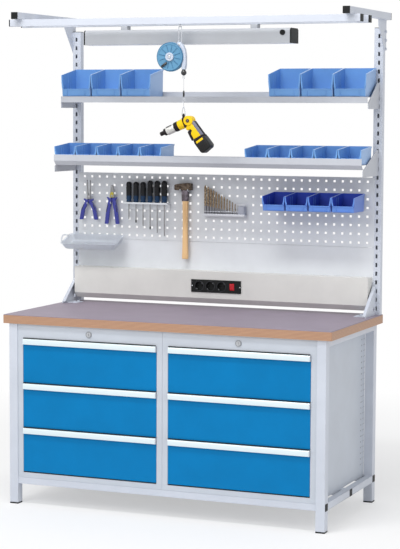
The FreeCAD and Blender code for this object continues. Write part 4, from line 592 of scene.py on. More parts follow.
for side in ("left", "right"):
    for level in ("top", "middle", "bottom"):
        node = f"{side}_{level}_drawer_grip"
        finish_piece(f"{side}_{level}_grip_rail", grip_rail(*corners_mm(node)),
                     [grip_metal, cap_grey, black_plastic], f"{side}_{level}_drawer", [node])

# %% Plinth strips of painted shade
# A thin black strip under each bottom drawer front is painted shade for the gap above the plinth.
shape = bmesh.new()
for side in ("left", "right"):
    (x0, y0, z0), (x1, y1, z1) = corners_mm(side + "_bottom_drawer_front")
    put(shape, box((x0, y0 - 0.8, z0 - 4.6), (x1, y0 + 0.2, z0 - 2), 0.2, 1))
finish_piece("plinth_shadow_strips", shape, [black_plastic], "bench", ())

# %% [markdown]
# ## Storage bins
# A bin is one moulded wall: a floor, two sides, a back and a low front lip. Its sides lean
# outwards a little, so that the part leaves its mould, and a folded rim stiffens the edge. A
# mesh follows the same order. Five faces share their corners, the upright corners are
# rounded with a bevel, the open edge is extruded outwards and down into the rim, and solidify
# gives the wall its thickness. Small ribs on the lip hold a paper label.

# %% One bin
WALL, LEAN, RIM = 2.0, 1.2, 1.8
CORNER_RADIUS = 5


def bin_wall(low, high, lip, slope):
    """The open wall of a bin with its folded rim."""
    (x0, y0, z0), (x1, y1, z1) = low, high
    left, right, front, rear = x0 + RIM, x1 - RIM, y0 + 2.0, y1 - RIM
    lean_at_lip = LEAN * (1 - lip / (z1 - z0))
    part = bmesh.new()

    def corner(x, y, z):
        return part.verts.new(Vector((x, y, z)) * MM)

    rows = []
    for side, inward in ((left, 1), (right, -1)):
        foot = side + inward * LEAN
        rows.append([corner(foot, front + 2, z0), corner(foot, rear - LEAN, z0), corner(side, rear, z1),
                     corner(side, front, z1 - slope),
                     corner(side + inward * lean_at_lip, front, z0 + lip)])
    (a0, a1, a2, a3, a4), (b0, b1, b2, b3, b4) = rows
    part.faces.new((a0, a1, a2, a3, a4))
    part.faces.new((b4, b3, b2, b1, b0))
    part.faces.new((a0, b0, b1, a1))
    part.faces.new((a1, b1, b2, a2))
    part.faces.new((a0, a4, b4, b0))
    bmesh.ops.recalc_face_normals(part, faces=part.faces)
    upright = [edge for edge in part.edges if len(edge.link_faces) == 2]
    bevel(part, upright, CORNER_RADIUS, 3)
    grown = bmesh.ops.extrude_edge_only(part, edges=[e for e in part.edges if len(e.link_faces) == 1])["geom"]
    for vert in [v for v in grown if isinstance(v, bmesh.types.BMVert)]:
        x, y, z = vert.co / MM
        out_x = -RIM if x < left + 6 else RIM if x > right - 6 else 0
        out_y = RIM if y > rear - 6 else 0
        if z < z0 + lip + 4:
            out_y = -1.6
            out_x *= 0.4
        vert.co += Vector((out_x, out_y, 0)) * MM
    edges = [e for e in grown if isinstance(e, bmesh.types.BMEdge)]
    grown = bmesh.ops.extrude_edge_only(part, edges=edges)["geom"]
    for vert in [v for v in grown if isinstance(v, bmesh.types.BMVert)]:
        y, z = vert.co.y / MM, vert.co.z / MM
        if z > z0 + lip + 4:
            vert.co.z -= 4.5 * MM
            if y < front + 4:
                vert.co.y += 2.5 * MM
        else:
            vert.co.z -= 2.5 * MM
    bmesh.ops.solidify(part, geom=part.faces[:], thickness=WALL * MM)
    bmesh.ops.recalc_face_normals(part, faces=part.faces)
    return part


def storage_bin(shape, low, high, lip, slope, material=0):
    """A whole bin. Its outside, a painted highlight on its rim and right sides, and painted shade on its
    inside have three materials with numbers in a row.
    """
    (x0, y0, z0), (x1, y1, z1) = low, high
    wide = x1 - x0
    centre = Vector(((x0 + x1) / 2, (y0 + y1) / 2, (z0 + z1) / 2))

    def light_or_shade_of(face):
        middle = face.calc_center_median() / MM
        edge = z1 - slope * (1 - (middle.y - y0) / (y1 - y0))
        inner = face.normal.dot(centre - middle) > 0
        # Right-facing outer faces and the rim's top take the painted highlight, faces turned inwards take the
        # painted shade.
        if not inner and face.normal.x > 0.7 or face.normal.z > 0.5 and middle.z > edge - 4:
            return material + 1
        return material + 2 if inner else material

    put(shape, bin_wall(low, high, lip, slope), light_or_shade_of)
    for share in (0.2, 0.8):
        x = x0 + wide * share
        put(shape, box((x - 1.2, y0 + 0.4, z0 + 3), (x + 1.2, y0 + 3.4, z0 + lip - 2), 0.4, 1), material)
    ledge = box((x0 + wide * 0.2, y0 + 0.9, z0 + 3), (x0 + wide * 0.8, y0 + 3.4, z0 + 5.4), 0.4, 1)
    put(shape, ledge, material)
    for share in (0.42, 0.56):
        y = y0 + (y1 - y0) * share
        top = z1 - slope * (1 - share) - 7
        for x, lean in ((x0 + RIM + WALL, 1), (x1 - RIM - WALL, -1)):
            rib = box((x - 1.1, y - 1.1, z0 + 5), (x + 1.1, y + 1.1, top), 0.4, 1)
            for vert in rib.verts:
                down = 1 - (vert.co.z / MM - z0) / (z1 - z0)
                vert.co.x += lean * LEAN * down * MM
            put(shape, rib, material)
    return shape


# %% All bins
LARGE = {"wide": 147.0, "pitch": 148.5, "front": 160.0, "rear": 308.0, "low": 1775.0, "high": 1897.0,
         "lip": 31.0, "slope": 28.0}
SMALL = {"wide": 104.5, "pitch": 106.0, "front": 89.5, "rear": 239.5, "low": 1487.0, "high": 1562.0,
         "lip": 24.0, "slope": 14.0}
HUNG = dict(SMALL, front=158.5, rear=308.5, low=1280.0, high=1355.0)


def bin_row(shape, first, count, kind, material=0):
    """Bins side by side from a first left edge."""
    for index in range(count):
        x = first + index * kind["pitch"]
        storage_bin(shape, (x, kind["front"], kind["low"]), (x + kind["wide"], kind["rear"], kind["high"]),
                    kind["lip"], kind["slope"], material)


shape = bmesh.new()
bin_row(shape, -726.0, 3, LARGE)
bin_row(shape, 276.0, 3, LARGE)
finish_piece("large_storage_bins", shape, [bin_blue, bin_highlight_blue, bin_shaded_blue], "bench", ["large_bins"])
shape = bmesh.new()
bin_row(shape, -726.0, 5, SMALL)
bin_row(shape, 196.0, 5, SMALL)
HUNG_FIRST = 252.0
bin_row(shape, HUNG_FIRST, 4, HUNG, 3)
for index in range(4):
    for share in (0.25, 0.75):
        x = HUNG_FIRST + index * HUNG["pitch"] + HUNG["wide"] * share
        put(shape, box((x - 6, 306.5, 1341), (x + 6, 314.3, 1353), 0.8, 2), 3)
finish_piece("small_storage_bins", shape,
             [bin_blue, bin_highlight_blue, bin_shaded_blue, hung_bin_blue, hung_bin_highlight_blue, hung_bin_shaded_blue], "bench",
             ["small_bins"])

# %% [markdown]
# ## The spring balancer
# The balancer is a flat drum with a spring and the wound cord inside. Its blue case shows a
# darker rim and shallow ribs, with a pale hub in the middle and a black locking lever. A pale
# guide leads the cord down on the right. The drum is a turned shape, so its profile is spun.
# It hangs from a wire loop, and the loop from a trolley in the front rail.

# %% Balancer finishes and drum
drum_blue = finish("balancer_blue", (92, 144, 178), 0.34, relief=0.03, coat=0.15, mirror=0.3)
drum_dark = finish("balancer_dark_blue", (62, 112, 148), 0.35, relief=0.03, mirror=0.3)
pale_plastic = finish("pale_plastic", (190, 198, 212), 0.4, relief=0.04, mirror=0.3)
gloss_black = finish("fittings_black", (16, 16, 18), 0.18, relief=0.02, change=0.1, coat=0.4)
bright_wire = finish("bright_wire", (205, 208, 214), 0.25, relief=0.0, change=0.03, metallic=0.8)

REEL = (-38.0, -170.0, 1938.5)
shape = bmesh.new()
drum = [(0, -13), (50, -13), (52, -15), (57, -15), (60, -12.5), (60, -3), (62, -2), (62, 2), (60, 3),
        (60, 12.5), (57, 15), (52, 15), (50, 13), (0, 13)]
put(shape, lathe(drum, REEL, "Y", 64))
dark_rim = [(57.2, -15.5), (60.6, -12.8), (60.6, -11.4), (57.0, -13.8), (57.2, -15.5)]
put(shape, lathe(dark_rim, REEL, "Y", 64), 1)
for turn in range(12):
    rib = box((22, -14.6, -1.2), (50, -12.5, 1.2), 0.5, 1)
    put(shape, rib, 1, frame_at(REEL, math.radians(30 * turn + 12)))
hub = [(0, -21), (7, -21), (8, -20), (8, -18.5), (10, -18.5), (11, -20.5), (16.5, -20.5), (18, -19),
       (18, -13), (0, -13)]
put(shape, lathe(hub, REEL, "Y", 40), 2)
put(shape, lathe([(0, -21.6), (5.5, -21.6), (6.5, -20.8), (6.5, -18), (0, -18)], REEL, "Y", 32), 3)
lever = [(-76, 1897), (-71, 1893), (-50, 1909), (-49, 1915), (-54, 1917), (-75, 1902)]
put(shape, slab(lever, "XZ", -189, -184, 1.2), 4)
guide = [(-6, 2001), (8, 2000), (20, 1987), (29, 1968), (33, 1945), (33, 1905), (29, 1885), (14, 1885),
         (14, 1912), (20, 1935), (20, 1950), (14, 1968), (2, 1981), (-8, 1987)]
put(shape, slab(guide, "XZ", -179, -161, 2.0, 3), 2)
put(shape, lathe(disc_profile(5, -11, 11, 1), (3.5, -170, 1990), "Y", 24), 3)
finish_piece("balancer_drum", shape, [drum_blue, drum_dark, pale_plastic, steel, gloss_black], "balancer",
             ["balancer_housing"])


# %% Wire loops


def loop_points(centre, low, high, half):
    """Control points of an upright oval loop that stays in one plane."""
    x, y = centre
    return [(x - half, y, low + half), (x - half, y, (low + high) / 2), (x - half, y, high - half),
            (x - half * 0.7, y, high), (x + half * 0.7, y, high), (x + half, y, high - half),
            (x + half, y, (low + high) / 2), (x + half, y, low + half), (x + half * 0.7, y, low),
            (x - half * 0.7, y, low)]


shape = bmesh.new()
put(shape, box((-16.5, -182, 2077.3), (23.5, -158, 2089.3), 2, 2))
put(shape, box((0.5, -173, 2062), (6.5, -167, 2077.5), 0.8, 2))
put(shape, wire(loop_points((3.5, -170), 1993, 2067, 6.5), 1.6, closed=True), 1)
finish_piece("balancer_hanger", shape, [steel, bright_wire], "balancer", ["balancer_trolley"])

shape = bmesh.new()
ball = [(0, 1860)] + [(12 * math.sin(math.radians(a)), 1872 - 12 * math.cos(math.radians(a)))
                      for a in range(15, 150, 15)]
ball += [(7.5, 1882), (7.5, 1885), (0, 1885)]
put(shape, lathe(ball, (CORD_X, CORD_Y, 0), "Z", 32))
clip = [(0, 1770), (2.6, 1770), (3.8, 1773), (4.2, 1780), (4.2, 1788), (3.2, 1794), (2, 1797), (0, 1797)]
put(shape, lathe(clip, (CORD_X, CORD_Y, 0), "Z", 24))
put(shape, wire(loop_points((CORD_X, CORD_Y), 1846, 1861, 4.5), 1.0, closed=True), 1)
put(shape, wire(loop_points((CORD_X, CORD_Y), 1747, 1763, 6.0), 1.1, closed=True), 1)
hook = [(CORD_X - 7, CORD_Y, 1706), (CORD_X - 7.5, CORD_Y, 1694), (CORD_X - 5, CORD_Y, 1687),
        (CORD_X + 5, CORD_Y, 1687), (CORD_X + 7.5, CORD_Y, 1694), (CORD_X + 6.5, CORD_Y, 1708),
        (CORD_X + 2.5, CORD_Y, 1727), (CORD_X - 2.5, CORD_Y, 1727)]
put(shape, wire(hook, 1.7, closed=True), 1)
put(shape, lathe(disc_profile(2.6, 1724, 1730, 0.6), (CORD_X, CORD_Y, 0), "Z", 20), 1)
finish_piece("cord_hook_and_stop", shape, [gloss_black, bright_wire], "balancer", ["cord_fittings"])

# %% [markdown]
# ## The power tool
# A small cordless screwdriver hangs by its neck. Its drive and its handle meet at a round
# hinge, so each has a frame of its own: one matrix turns a straight drive by about 24 degrees,
# and another turns an upright handle by 141. Inside each frame the shapes are drawn straight,
# which keeps their numbers readable. Turned parts come from a spun profile, and the handle's
# shells from outlines with a wide bevel.

# %% Tool finishes
tool_yellow = finish("tool_yellow", (240, 198, 6), 0.42, grain=1600, relief=0.1, change=0.04, mirror=0.3)
tool_black = finish("tool_black", (24, 18, 20), 0.5, grain=1800, relief=0.15, change=0.12, mirror=0.25)
tool_grey = finish("tool_grey", (110, 112, 128), 0.3, grain=1600, relief=0.05, change=0.1, coat=0.3)
battery_black = finish("battery_black", (20, 21, 22), 0.4, grain=1600, relief=0.1, change=0.1, mirror=0.3)
barrel_silver = finish("barrel_silver", (205, 204, 200), 0.35, grain=500, relief=0.05, change=0.05,
                       metallic=0.55, stretch=(1, 1, 0.1))
hinge_brown = finish("hinge_brown", (58, 26, 22), 0.4, relief=0.05)

HINGE = (47.7, -170.0, 1670.4)
DRIVE_TILT = math.radians(23.8)
HANDLE_TILT = math.radians(141)
drive_frame = frame_at(HINGE, -DRIVE_TILT)
handle_frame = frame_at(HINGE, HANDLE_TILT)


def turned(profile, steps=40):
    """A turned part of the drive. The profile's second number runs from the tip to the hinge."""
    return lathe(profile, (0, 0, 0), "X", steps)


shape = bmesh.new()
put(shape, turned([(0, -52), (19.6, -52), (20.4, -51), (21.2, -32), (21.4, -25), (0, -25)]), 0, drive_frame)
put(shape, turned([(0, -71.5), (18.4, -71.5), (19.6, -70), (20.2, -52.6), (20.2, -51.6), (0, -51.6)]), 1,
    drive_frame)
for turn in range(14):
    ridge = box((-68.5, -1.3, 19.2), (-54.5, 1.3, 20.7), 0.5, 1)
    put(shape, ridge, 1, drive_frame @ Matrix.Rotation(math.tau * turn / 14, 4, "X"))
barrel = [(5.4, -112), (16.6, -112), (18.5, -110), (18.5, -101), (17.9, -100.2), (17.9, -99),
          (18.5, -98.2), (18.5, -74), (17.2, -71), (0, -71)]
put(shape, turned(barrel), 2, drive_frame)
window = box((-106, -3.5, 16.6), (-80, 3.5, 18.9), 0.8, 1)
put(shape, window, 1, drive_frame @ Matrix.Rotation(math.radians(38), 4, "X"))
neck = slab([(-27, -22), (-9, -19), (-12, 22), (-24, 23)], "XZ", -19, 19, 5, 3)
put(shape, neck, 1, drive_frame)
hanger = [(14, 1660), (28, 1664), (25, 1694), (23, 1700.5), (19, 1700.5), (17, 1694)]
put(shape, slab(hanger, "XZ", -175, -165, 1.5, 2), 1)
knuckle = [(0, -22), (10.5, -22), (11, -21), (19, -20), (21, -17.5), (21, 17.5), (19, 20), (11, 21),
           (10.5, 22), (0, 22)]
put(shape, lathe(knuckle, HINGE, "Y", 48), 0)
for sign in (-1, 1):
    cap = [(0, 22.6 * sign), (7.5, 22.6 * sign), (9, 21.6 * sign), (9.4, 19 * sign), (0, 19 * sign)]
    put(shape, lathe(cap, HINGE, "Y", 32), 5)
    screw = [(0, 23.0 * sign), (2.6, 23.0 * sign), (3.2, 22.4 * sign), (3.2, 20 * sign), (0, 20 * sign)]
    put(shape, lathe(screw, HINGE, "Y", 20), 3)
front_shell = [(-7, 6), (9, 3), (21, 12), (31, 21), (28, 30), (15, 33), (12.5, 42), (24, 50), (29, 78),
               (22, 85), (-7, 87)]
for start, end in ((-16.5, -7.6), (7.6, 16.5)):
    cheek = slab(front_shell, "XZ", start, end)
    put(shape, round_edges(cheek, lambda p: abs(p.y) > 16.4, 4), 0, handle_frame)
trigger_well = front_shell[:4] + [(28, 29), (8, 31), (8, 45), (19.5, 54), (28, 76.5)] + front_shell[-3:]
put(shape, slab(trigger_well, "XZ", -7.6, 7.6), 0, handle_frame)
back_shell = [(-19, 16), (-9, 5), (-6, 8), (-6, 88), (-18.4, 92)]
spine = [(-20.5, 18), (-17, 14), (-16, 92), (-20.5, 93)]
foot = [(-18.5, 86), (27, 77), (31, 79), (36, 93), (-20, 95)]
pack = [(-19, 93), (35, 91), (35.4, 143), (29, 150), (-11, 150), (-19.4, 141)]
latch = [(-11, 96), (24, 93), (26, 103), (-9, 106)]
for outline, half, edge, segments, material in (
        (back_shell, 15.5, 3.5, 3, 3), (spine, 9, 1.2, 2, 1), (foot, 19.5, 3, 3, 1), (pack, 25, 5, 4, 4),
        (latch, 25.8, 2, 2, 0)):
    put(shape, slab(outline, "XZ", -half, half, edge, segments), material, handle_frame)
for level in (112, 120, 128, 136):
    for near in (-25.7, 24.5):
        put(shape, box((-12, near, level), (28, near + 1.2, level + 3), 0.5, 1), 1, handle_frame)
finish_piece("cordless_screwdriver", shape,
             [tool_yellow, tool_black, barrel_silver, tool_grey, battery_black, hinge_brown], "balancer",
             ["power_tool"])

# %% Nose and trigger
shape = bmesh.new()
nose = [(3.2, -133.3), (3.2, -144.6), (7.6, -144.6), (9, -143), (9, -127), (8.4, -124.9), (13.2, -124.6),
        (15, -122.6), (15, -114.4), (13.6, -112.5), (5, -112.5), (5, -94.5), (0, -94.5), (0, -133.3),
        (3.2, -133.3)]
put(shape, turned(nose, 36), 0, drive_frame)
for turn in range(10):
    ridge = box((-122, -1.1, 14.4), (-115, 1.1, 15.4), 0.4, 1)
    put(shape, ridge, 0, drive_frame @ Matrix.Rotation(math.tau * turn / 10, 4, "X"))
finish_piece("screwdriver_nose", shape, [tool_black], "chuck", ["power_tool_chuck"])
shape = bmesh.new()
lever = [(15, 33.5), (29, 31), (36, 35), (40, 56), (42.5, 75), (37, 75), (27, 52), (15.6, 43)]
put(shape, slab(lever, "XZ", -6.8, 6.8, 2.4, 3), 0, handle_frame)
finish_piece("screwdriver_trigger", shape, [tool_black], "trigger", ["power_tool_trigger"])

# %% [markdown]
# ## Hand tools on the perforated panel
# The pliers have dipped blue handles with a black stripe, and bare steel jaws. Each lever is
# an outline with a wide bevel, which turns the flat slab into the rounded bar of a handle. A
# lever is modelled once and mirrored for the other side.

# %% Pliers
handle_blue = finish("handle_blue", (38, 46, 150), 0.32, grain=700, relief=0.05, change=0.06, coat=0.3)
stripe_black = finish("stripe_black", (22, 22, 40), 0.45, relief=0.05)
tool_steel = finish("tool_steel", (150, 150, 152), 0.3, grain=700, relief=0.06, change=0.12, metallic=0.9)
brass = finish("yellow_jaw", (172, 160, 62), 0.4, relief=0.05, change=0.1, metallic=0.4)
TOOL_Y = 292.0


def lever_shapes(shape, x, low, pivot, spread, sign):
    """One lever: a bowed handle with a flared guard and a stripe."""
    rise = pivot - low
    bow = spread * 0.78

    def side(points):
        return [(x + sign * a, b) for a, b in points]

    grip = side([(2, pivot - 8), (15, pivot - 13), (17, pivot - 20), (bow, low + rise * 0.5),
                 (spread, low + 2), (spread - 1, low), (spread - 15, low), (spread - 17, low + 3),
                 (bow - 17, low + rise * 0.48), (2, pivot - 24)])
    put(shape, slab(grip, "XZ", TOOL_Y - 6, TOOL_Y + 6, 3.5, 3), 0)
    guard = side([(5, pivot - 13), (24, pivot - 5), (25, pivot - 8), (17, pivot - 20), (8, pivot - 22)])
    put(shape, slab(guard, "XZ", TOOL_Y - 6.5, TOOL_Y + 6.5, 2.0, 2), 0)
    stripe = side([(bow * 0.62, low + rise * 0.68), (bow * 0.62 + 4, low + rise * 0.68),
                   (bow + 1.2, low + rise * 0.42), (bow - 3, low + rise * 0.42)])
    put(shape, slab(stripe, "XZ", TOOL_Y - 6.4, TOOL_Y - 3, 1.2, 2), 1)


def jaw_shapes(shape, x, pivot, high, root, tip, gap):
    """Two tapered jaws that stand a little open."""
    for sign in (-1, 1):
        jaw = [(x + sign * gap * 0.2, pivot - 4), (x + sign * root, pivot - 2),
               (x + sign * root * 0.95, pivot + 7), (x + sign * (gap + tip), high - 4),
               (x + sign * (gap + tip * 0.4), high), (x + sign * gap, high - 1)]
        put(shape, slab(jaw, "XZ", TOOL_Y - 4, TOOL_Y + 4, 1.6, 2), 2)
    joint = [(x - root - 1, pivot - 9), (x + root + 1, pivot - 9), (x + root, pivot + 6), (x, pivot + 11),
             (x - root, pivot + 6)]
    put(shape, slab(joint, "XZ", TOOL_Y - 5, TOOL_Y + 5, 2.5, 3), 2)
    put(shape, lathe(disc_profile(5, -6.6, 6.6, 1), (x, TOOL_Y, pivot), "Y", 24), 2)


shape = bmesh.new()
for x, low, pivot, high, spread, root, tip, gap in (
        (-652.0, 1210.0, 1312.5, 1393.0, 46.0, 9.0, 2.6, 7.0),
        (-533.0, 1193.0, 1322.0, 1372.0, 36.0, 11.0, 5.0, 1.5)):
    for sign in (-1, 1):
        lever_shapes(shape, x, low, pivot, spread, sign)
    jaw_shapes(shape, x, pivot, high, root, tip, gap)
put(shape, slab([(-543, 1316), (-527, 1314), (-523, 1334), (-533, 1342), (-541, 1334)], "XZ", TOOL_Y - 6.2,
                TOOL_Y - 4, 1.0, 2), 3)
finish_piece("two_pliers", shape, [handle_blue, stripe_black, tool_steel, brass], "bench", ["pliers"])

# %% [markdown]
# ## Screwdrivers
# A screwdriver is turned work, so its handle and blade are spun profiles. The grip has
# flutes, which are narrow ridges set around it, and its lower third is petrol blue. The
# blades get longer to the right.

# %% Screwdrivers
driver_black = finish("driver_black", (10, 12, 18), 0.35, grain=900, relief=0.05, change=0.12, mirror=0.25)
driver_petrol = finish("driver_petrol", (12, 50, 84), 0.4, grain=900, relief=0.05, change=0.06, mirror=0.25)
NECK = 1296.0
shape = bmesh.new()
for index in range(6):
    x = -448.0 + 35.5 * index
    spot = (x, TOOL_Y, 0)
    crown = 1396.0 if index > 2 else 1389.0
    upper = [(0, crown), (5.5, crown), (9.5, crown - 2.5), (12.4, crown - 8), (13, crown - 15),
             (11.6, crown - 26), (12.2, crown - 50), (12.6, NECK + 31), (12.3, NECK + 29.5), (0, NECK + 29.5)]
    put(shape, lathe(upper[::-1], spot, "Z", 28), 0)
    lower = [(0, NECK + 30), (12.2, NECK + 30), (12.4, NECK + 16), (10.5, NECK + 9), (12.2, NECK + 4),
             (11, NECK), (0, NECK)]
    put(shape, lathe(lower[::-1], spot, "Z", 28), 1)
    for turn in range(8):
        ridge = box((-1.6, 11.2, NECK + 33), (1.6, 12.9, crown - 24), 0.6, 1)
        put(shape, ridge, 0, frame_at(spot, math.tau * turn / 8, "Z"))
    tip = 1144.0 + 14.5 * (5 - index)
    blade = [(0, tip), (1.6, tip), (2.2, tip + 2), (2.9, tip + 10), (2.9, NECK - 4), (4.4, NECK - 3),
             (4.4, NECK), (0, NECK)]
    put(shape, lathe(blade, spot, "Z", 16), 2)
    if index in (1, 3):
        dark_tip = [(0, tip - 0.2), (1.9, tip - 0.2), (3.1, tip + 3), (3.1, tip + 13), (0, tip + 13)]
        put(shape, lathe(dark_tip, spot, "Z", 16), 3)
finish_piece("six_screwdrivers", shape, [driver_black, driver_petrol, tool_steel, black_plastic], "bench",
             ["screwdrivers"])

# %% [markdown]
# ## The hammer
# An old hammer with a dark head, a steel sleeve below it and a wooden handle. Wood needs two
# scales of grain: long bands along the handle, and fine pores. Both are noise stretched along
# Z. The steel shows brown wear, from a coarse noise that mixes two colours.

# %% Wood and worn steel


PORES_FINER = 6


def mixed_finish(name, light, dark, roughness, scale, stretch=(1, 1, 1), metallic=0.0):
    """Two colours mixed by a stretched noise, with the relief of a finer one."""
    made, tree, shader = surface(name, Metallic=metallic)
    place = node_of(tree, "Mapping", Vector=node_of(tree, "TexCoord").outputs["Object"], Scale=stretch)
    bands = node_of(tree, "TexNoise", Vector=place, Scale=scale, Detail=4.0, Roughness=0.6, Distortion=0.6)
    pores = node_of(tree, "TexNoise", Vector=place, Scale=scale * PORES_FINER, Detail=3.0)
    colour = ramp_of(tree, bands, (0.38, linear(*dark)), (0.6, linear(*light)))
    cover(tree, shader, colour, pores, (roughness - 0.1, roughness + 0.1), pores, 0.25, 0.0005)
    return made


hickory = mixed_finish("hickory", (230, 190, 138), (206, 158, 104), 0.45, 40, (1, 1, 0.08))
worn_steel = mixed_finish("hammer_steel", (112, 98, 84), (58, 46, 38), 0.55, 90, metallic=0.6)
sleeve_steel = mixed_finish("sleeve_steel", (120, 112, 122), (84, 76, 80), 0.4, 60, metallic=0.6)

# %% Hammer
HAMMER_X = -167.0
shape = bmesh.new()
block = [(-49.6, 1358), (-46, 1355.2), (28, 1355.2), (30.4, 1357.5), (30.4, 1384), (28, 1386.5), (4, 1388.5),
         (-24, 1385), (-46, 1381), (-49.6, 1378)]
put(shape, slab([(HAMMER_X + a, b) for a, b in block], "XZ", 277.5, 306.5, 2.0, 3), 0)
sleeve = [(-14.5, 1306), (14.5, 1306), (15.5, 1356), (-15.5, 1356)]
put(shape, slab([(HAMMER_X + a, b) for a, b in sleeve], "XZ", 280.0, 304.0, 3.0, 3), 1)
finish_piece("hammer_top", shape, [worn_steel, sleeve_steel], "bench", ["hammer_head"])
shape = bmesh.new()
half_widths = [(13, 1044), (13.5, 1052), (11.5, 1110), (10.5, 1200), (12, 1290), (13.4, 1310)]
shaft = ([(HAMMER_X - 13, 1044)] + [(HAMMER_X + a, b) for a, b in half_widths]
         + [(HAMMER_X - a, b) for a, b in half_widths[:0:-1]])
put(shape, slab(shaft, "XZ", 282.2, 301.8, 4.5, 4))
finish_piece("hammer_shaft", shape, [hickory], "bench", ["hammer_handle"])

# %% [markdown]
# ## The drill stand
# Thirteen twist drills stand in a metal holder and get shorter to the right. A flute is a
# groove that winds around the drill. It is made here by turning a row of thin star-shaped
# sections about the axis, each a little further than the one below, and bridging them.

# %% One twist drill
drill_bronze = mixed_finish("drill_bronze", (172, 152, 126), (104, 86, 68), 0.35, 160, metallic=0.8)
shank_steel = finish("shank_steel", (132, 132, 140), 0.3, grain=500, change=0.15, metallic=0.9)
BOARD_FACE = 314.5
RINGS, RING_POINTS = 14, 12
QUARTER_TURNS = 6.5


def drill(shape, x, low, length, radius):
    """A shank, a fluted length and a pointed tip."""
    y = BOARD_FACE - 17
    flute_low = low + length * 0.30
    top = low + length
    shank = radius * 0.94
    put(shape, lathe([(0, low), (shank, low), (shank, flute_low), (0, flute_low)], (x, y, 0), "Z", 14), 1)
    part = bmesh.new()
    previous = None
    for step in range(RINGS):
        share = step / (RINGS - 1)
        z = flute_low + (top - radius - flute_low) * share
        ring = bmesh.ops.create_circle(part, cap_ends=False, radius=radius * MM, segments=RING_POINTS)
        made = ring["verts"]
        for number, vert in enumerate(made):
            if number % 6 in (2, 3):
                vert.co.x *= 0.55
                vert.co.y *= 0.55
        twist = Matrix.Rotation(share * QUARTER_TURNS * math.pi / 2, 3, "Z")
        bmesh.ops.rotate(part, cent=(0, 0, 0), matrix=twist, verts=made)
        move(part, made, (x, y, z))
        if previous:
            for a in range(RING_POINTS):
                part.faces.new((previous[a - 1], previous[a], made[a], made[a - 1]))
        previous = made
    point = part.verts.new(Vector((x, y, top)) * MM)
    for a in range(RING_POINTS):
        part.faces.new((previous[a - 1], previous[a], point))
    bmesh.ops.recalc_face_normals(part, faces=part.faces)
    put(shape, part, 0)


# %% Drill stand
shape = bmesh.new()
for index in range(13):
    share = index / 12
    drill(shape, -72.0 + 158.0 * share, 1248.0, 133.0 - 88.0 * share, 6.0 - 4.3 * share)
put(shape, box((-80, 280.5, 1242), (123, 314.4, 1253), 1.2, 2), 2)
put(shape, box((-80, 284, 1262), (92, 310, 1264.5), 0.8, 2), 2)
put(shape, box((-80, 312.6, 1242), (123, 314.4, 1301), 0.6, 1), 2)
put(shape, box((89, 284.5, 1252.5), (119, 312.5, 1289), 2.0, 2), 3)
drill_tray = finish("drill_tray", (206, 208, 214), 0.35, grain=600, metallic=0.4)
tray_blue = finish("tray_blue_grey", (178, 182, 194), 0.45, grain=600, mirror=0.3)
finish_piece("drill_stand", shape, [drill_bronze, shank_steel, drill_tray, tray_blue], "bench", ["drill_set"])

# %% [markdown]
# ## Hooks, rack and tray
# Pins with a raised tip carry the pliers and the hammer, and a slotted rack carries the
# screwdrivers. Below the pliers hangs a tray of clear plastic with a curled left end. Clear
# plastic is a shader with most of its light passing through, a little haze, and an edge that
# looks whiter because more of the material lies behind it.

# %% Clear plastic


def clear_plastic(name, tint, haze):
    """A hazy clear plastic: a mix of a see-through and a milky surface."""
    made, tree, shader = surface(name, Transmission_Weight=0.55, IOR=1.2)
    tint = linear(*tint)
    place = node_of(tree, "TexCoord").outputs["Object"]
    clouds = node_of(tree, "TexNoise", Vector=place, Scale=60.0, Detail=3.0)
    colour = ramp_of(tree, clouds, (0, shade(tint, 0.92)), (1, shade(tint, 1.05)))
    cover(tree, shader, colour, clouds, (haze * 0.7, haze * 1.3), clouds, 0.1, 0.0005)
    return made


clear_grey = clear_plastic("clear_plastic", (226, 230, 236), 0.35)
holder_grey = finish("holder_grey", (196, 200, 206), 0.35, grain=600, metallic=0.6)
rack_white = finish("rack_white", (228, 232, 236), 0.35)

# %% Tray
TRAY_TILT = math.radians(20)
tray_frame = frame_at((0, 301.5, 1112), TRAY_TILT, "X")
shape = bmesh.new()
tray_wall = box((-742, -112, 0), (-472, 0, 34))
for vert in tray_wall.verts:
    if vert.co.z < 0.01:
        vert.co.x += 0.012 if vert.co.x < -0.6 else -0.012
        vert.co.y += 0.010 if vert.co.y < -0.05 else -0.006
lid = [face for face in tray_wall.faces if face.normal.z > 0.9]
bmesh.ops.delete(tray_wall, geom=lid, context="FACES_ONLY")
bevel(tray_wall, [e for e in tray_wall.edges if len(e.link_faces) == 2], 11, 5)
open_edges = [edge for edge in tray_wall.edges if len(edge.link_faces) == 1]
grown = bmesh.ops.extrude_edge_only(tray_wall, edges=open_edges)
for vert in [v for v in grown["geom"] if isinstance(v, bmesh.types.BMVert)]:
    vert.co.x += 0.005 if vert.co.x > -0.607 else -0.005
    if vert.co.y < -0.1:
        vert.co.y -= 0.004
bmesh.ops.recalc_face_normals(tray_wall, faces=tray_wall.faces)
bmesh.ops.solidify(tray_wall, geom=tray_wall.faces[:], thickness=0.002)
put(shape, tray_wall, 0, tray_frame)
curl = [(-740, -20, 30), (-752, -22, 34), (-764, -30, 40), (-769, -42, 37), (-767, -58, 26), (-756, -74, 14),
        (-742, -84, 6)]
put(shape, wire(curl, 3.2, sides=4), 0, tray_frame)
inner_curl = [(-740, -34, 28), (-750, -40, 28), (-753, -52, 22), (-748, -66, 12), (-740, -74, 8)]
put(shape, wire(inner_curl, 2.2, sides=4), 0, tray_frame)
for y in (-28, -56, -84):
    put(shape, box((-728, y - 1, 2), (-486, y + 1, 5), 0.5, 1), 0, tray_frame)

# %% Hooks and rack


